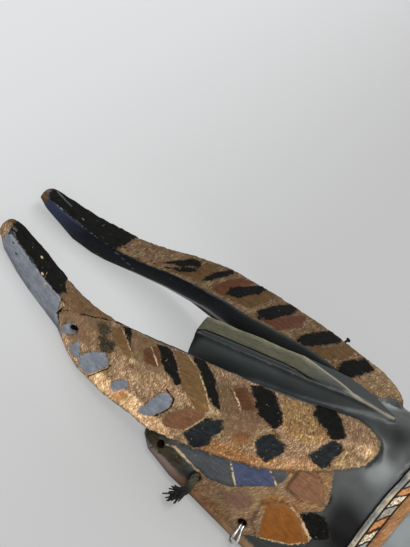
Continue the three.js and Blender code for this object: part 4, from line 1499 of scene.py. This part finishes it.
class ANTELOPE_OT_cord(bpy.types.Operator):
    """Twist and fray the fibre cord in the second rim hole"""

    bl_idname = "antelope_mask.cord"
    bl_label = "Twist the cord tie"

    def execute(self, context):
        shape = bmesh.new()
        frames = line_frames(curve_points([to_blender(p) for p in CORD_ROUTE], 60))
        for strand in range(STRANDS):
            path = []
            for i, (point, across, up, _) in enumerate(frames):
                angle = 2 * math.pi * (strand / STRANDS + i / STEPS_PER_TWIST)
                aside = math.cos(angle) * across + math.sin(angle) * up
                path.append(point + STRAND_OFFSET * MM * aside)
            sweep(shape, path, [STRAND_RADIUS * MM] * len(path), 7)
        centre = to_blender(CORD_ROUTE[0])
        for tilt in KNOT_TILTS:
            ring = []
            for i in range(25):
                angle = 2 * math.pi * i / 24
                flat = Vector((0.6 * math.cos(angle) * tilt, math.cos(angle), math.sin(angle)))
                ring.append(centre + KNOT_TURN_RADIUS * MM * flat)
            sweep(shape, ring, [KNOT_CORD_RADIUS * MM] * len(ring), 8)
        chance = np.random.default_rng(SEED)
        start, stop = to_blender(TUFT_START), to_blender(TUFT_END)
        for _ in range(FIBRES):
            spread = Vector(chance.uniform(-1, 1, 3))
            end = start.lerp(stop, chance.uniform(0.55, 1.0)) + FIBRE_SPREAD * MM * spread
            end.x = max(end.x, TUFT_REACH * MM)
            end.z = max(end.z, 0.5 * MM)
            bend = start.lerp(end, 0.5) + 0.8 * MM * Vector(chance.uniform(-1, 1, 3))
            path = curve_points([start + 1.4 * MM * spread, bend, end], 7)
            sweep(shape, path, np.linspace(0.7, 0.4, 7) * MM, 5)
        colour = context.scene.mask_colours.cord
        material = plain_material("plant fibre", colour, 0.9, 0.0, dark_end=TUFT_START[0] * MM)
        finished_piece("cord_end", shape, material, "cord_tie")
        return {"FINISHED"}


class ANTELOPE_OT_wire(bpy.types.Operator):
    """Bend the bright wire round the rim"""

    bl_idname = "antelope_mask.wire"
    bl_label = "Bend the wire loop"

    def execute(self, context):
        shape = bmesh.new()
        line = curve_points([to_blender(p) for p in WIRE_ROUTE], WIRE_STEPS)
        steps = np.arange(WIRE_STEPS)
        thickness = np.clip(np.minimum(steps, steps[::-1]) / 2, 0.35, 1)
        sweep(shape, line, WIRE_RADIUS * MM * thickness, 12)
        material = plain_material("bright wire", (0.8, 0.81, 0.82), 0.25, 1.0, 400.0)
        finished_piece("bent_wire", shape, material, "wire_loop")
        return {"FINISHED"}


class ANTELOPE_OT_nail(bpy.types.Operator):
    """Drive the small bent nail into the far horn"""

    bl_idname = "antelope_mask.nail"
    bl_label = "Drive the nail"

    def execute(self, context):
        shape = bmesh.new()
        foot, head = to_blender(NAIL_FOOT), to_blender(NAIL_HEAD)
        bend = foot.lerp(head, 0.6) + Vector(NAIL_SAG) * MM
        sweep(shape, curve_points([foot, bend, head], 18), np.linspace(0.6, 0.8, 18) * MM, 12)
        lean = (head - bend).normalized()
        cap = [head + place * MM * lean for place, _ in NAIL_CAP]
        sweep(shape, cap, [radius * MM for _, radius in NAIL_CAP], 14)
        material = plain_material("dark iron", context.scene.mask_colours.iron, 0.6, 0.7)
        finished_piece("bent_nail", shape, material, "horn_nail")
        return {"FINISHED"}


FLOOR_HALF = 3.0
FLOOR_COLOUR = (0.2, 0.2, 0.2, 1)
# The floor's glow is painted light: dimmer near, brighter far, and brighter where it fills the shadow between
# the horns
FLOOR_NEAR = (0.27, 0.27, 0.268, 1)
FLOOR_FAR = (0.475, 0.48, 0.49, 1)
FLOOR_SHADOW_FILL = (0.41, 0.42, 0.415, 1)
SHADOW_FILL_PLACE = (0.03, 0.335, 0.0)
CAMERA_PLACE = (-0.5172, 0.3688, 0.4285)
CAMERA_RIGHT = (0.3787, -0.6921, 0.6145)
CAMERA_UP = (0.4309, 0.7195, 0.5447)
CAMERA_BACK = (-0.8191, 0.0585, 0.5707)
LENS = 77.0

# Soft lights: name, place, width and length, and power in watts. They all face the mask's middle
LIGHTS = [
    ("side_light", (-2.1, -0.1, 0.9), (2.6, 2.6), 54),
    ("roof_light", (0.0, 0.48, 2.1), (2.8, 0.7), 44),
    ("far_light", (2.4, 0.6, 1.6), (2.2, 2.2), 14),
]
MIDDLE = (0.0, 0.25, 0.05)
ROOM_COLOUR, ROOM_STRENGTH = (0.95, 0.97, 1.0, 1), 0.3


def soft_light(name, place, size, power):
    lamp = bpy.data.lights.new(name, "AREA")
    lamp.shape = "RECTANGLE"
    lamp.size, lamp.size_y = size
    lamp.energy = power
    thing = new_object(name, lamp)
    aim = Vector(MIDDLE) - Vector(place)
    thing.matrix_world = Matrix.Translation(place) @ aim.to_track_quat("-Z", "Y").to_matrix().to_4x4()


def paper_material():
    """The pale floor, which glows more at the back and in one soft bright place. The glow is painted light,
    and the bright place fills the shadow between the horns.
    """
    material, nodes, shader = new_material("pale paper")
    place = nodes.add("ShaderNodeTexCoord").outputs["Object"]
    apart = nodes.add("ShaderNodeSeparateXYZ", {"Vector": place}).outputs
    away = nodes.math("MULTIPLY_ADD", apart["X"], 0.1, apart["Y"])
    glow = nodes.mix(nodes.step(away, 0.27, 0.57), FLOOR_NEAR, FLOOR_FAR)
    gap = nodes.add("ShaderNodeVectorMath", {0: place, 1: SHADOW_FILL_PLACE}, operation="DISTANCE")
    # Painted light that fills the shadow between the horns
    glow = nodes.mix(nodes.step(gap.outputs["Value"], 0.14, 0.0), glow, FLOOR_SHADOW_FILL)
    nodes.join(glow, shader.inputs["Emission Color"])
    shader.inputs["Emission Strength"].default_value = 1.0
    shader.inputs["Base Color"].default_value = FLOOR_COLOUR
    shader.inputs["Roughness"].default_value = 0.9
    shader.inputs["Specular IOR Level"].default_value = 0.2
    return material


class ANTELOPE_OT_stage(bpy.types.Operator):
    """Lay the pale floor, hang the soft lights and set the camera"""

    bl_idname = "antelope_mask.stage"
    bl_label = "Set the stage"

    def execute(self, context):
        scene = context.scene
        shape = bmesh.new()
        bmesh.ops.create_grid(shape, x_segments=4, y_segments=4, size=FLOOR_HALF)
        mesh = bpy.data.meshes.new("pale_floor")
        shape.to_mesh(mesh)
        shape.free()
        mesh.materials.append(paper_material())
        new_object("pale_floor", mesh)

        lens = bpy.data.cameras.new("photo_view")
        lens.lens = LENS
        lens.sensor_width = 36.0
        camera = new_object("photo_view", lens)
        turn = Matrix((CAMERA_RIGHT, CAMERA_UP, CAMERA_BACK)).transposed().to_4x4()
        camera.matrix_world = Matrix.Translation(CAMERA_PLACE) @ turn
        scene.camera = camera

        for light in LIGHTS:
            soft_light(*light)
        world = bpy.data.worlds.new("soft_room")
        world.use_nodes = True
        scene.world = world
        sky = world.node_tree.nodes["Background"]
        sky.inputs["Color"].default_value = ROOM_COLOUR
        sky.inputs["Strength"].default_value = ROOM_STRENGTH
        scene.view_settings.view_transform = "Standard"
        return {"FINISHED"}


class ANTELOPE_PT_panel(bpy.types.Panel):
    """Sizes, colours and steps of the mask"""

    bl_idname = "ANTELOPE_PT_panel"
    bl_label = "Antelope Mask"
    bl_space_type = "VIEW_3D"
    bl_region_type = "UI"
    bl_category = "Antelope Mask"

    def draw(self, context):
        layout = self.layout
        for group in (context.scene.mask_sizes, context.scene.mask_colours):
            for name in group.bl_rna.properties.keys():
                if name not in ("rna_type", "name"):
                    layout.prop(group, name)
        for step in OPERATORS:
            layout.operator(step.bl_idname)


OPERATORS = [
    ANTELOPE_OT_stage, ANTELOPE_OT_carving, ANTELOPE_OT_cord, ANTELOPE_OT_wire, ANTELOPE_OT_nail,
]
CLASSES = [MaskSizes, MaskColours, *OPERATORS, ANTELOPE_PT_panel]


def register():
    for kind in CLASSES:
        bpy.utils.register_class(kind)
    bpy.types.Scene.mask_sizes = PointerProperty(type=MaskSizes)
    bpy.types.Scene.mask_colours = PointerProperty(type=MaskColours)


def unregister():
    del bpy.types.Scene.mask_colours
    del bpy.types.Scene.mask_sizes
    for kind in reversed(CLASSES):
        bpy.utils.unregister_class(kind)


def main():
    register()
    bpy.ops.antelope_mask.stage()
    bpy.ops.antelope_mask.carving()
    bpy.ops.antelope_mask.cord()
    bpy.ops.antelope_mask.wire()
    bpy.ops.antelope_mask.nail()


if __name__ == "__main__":
    main()
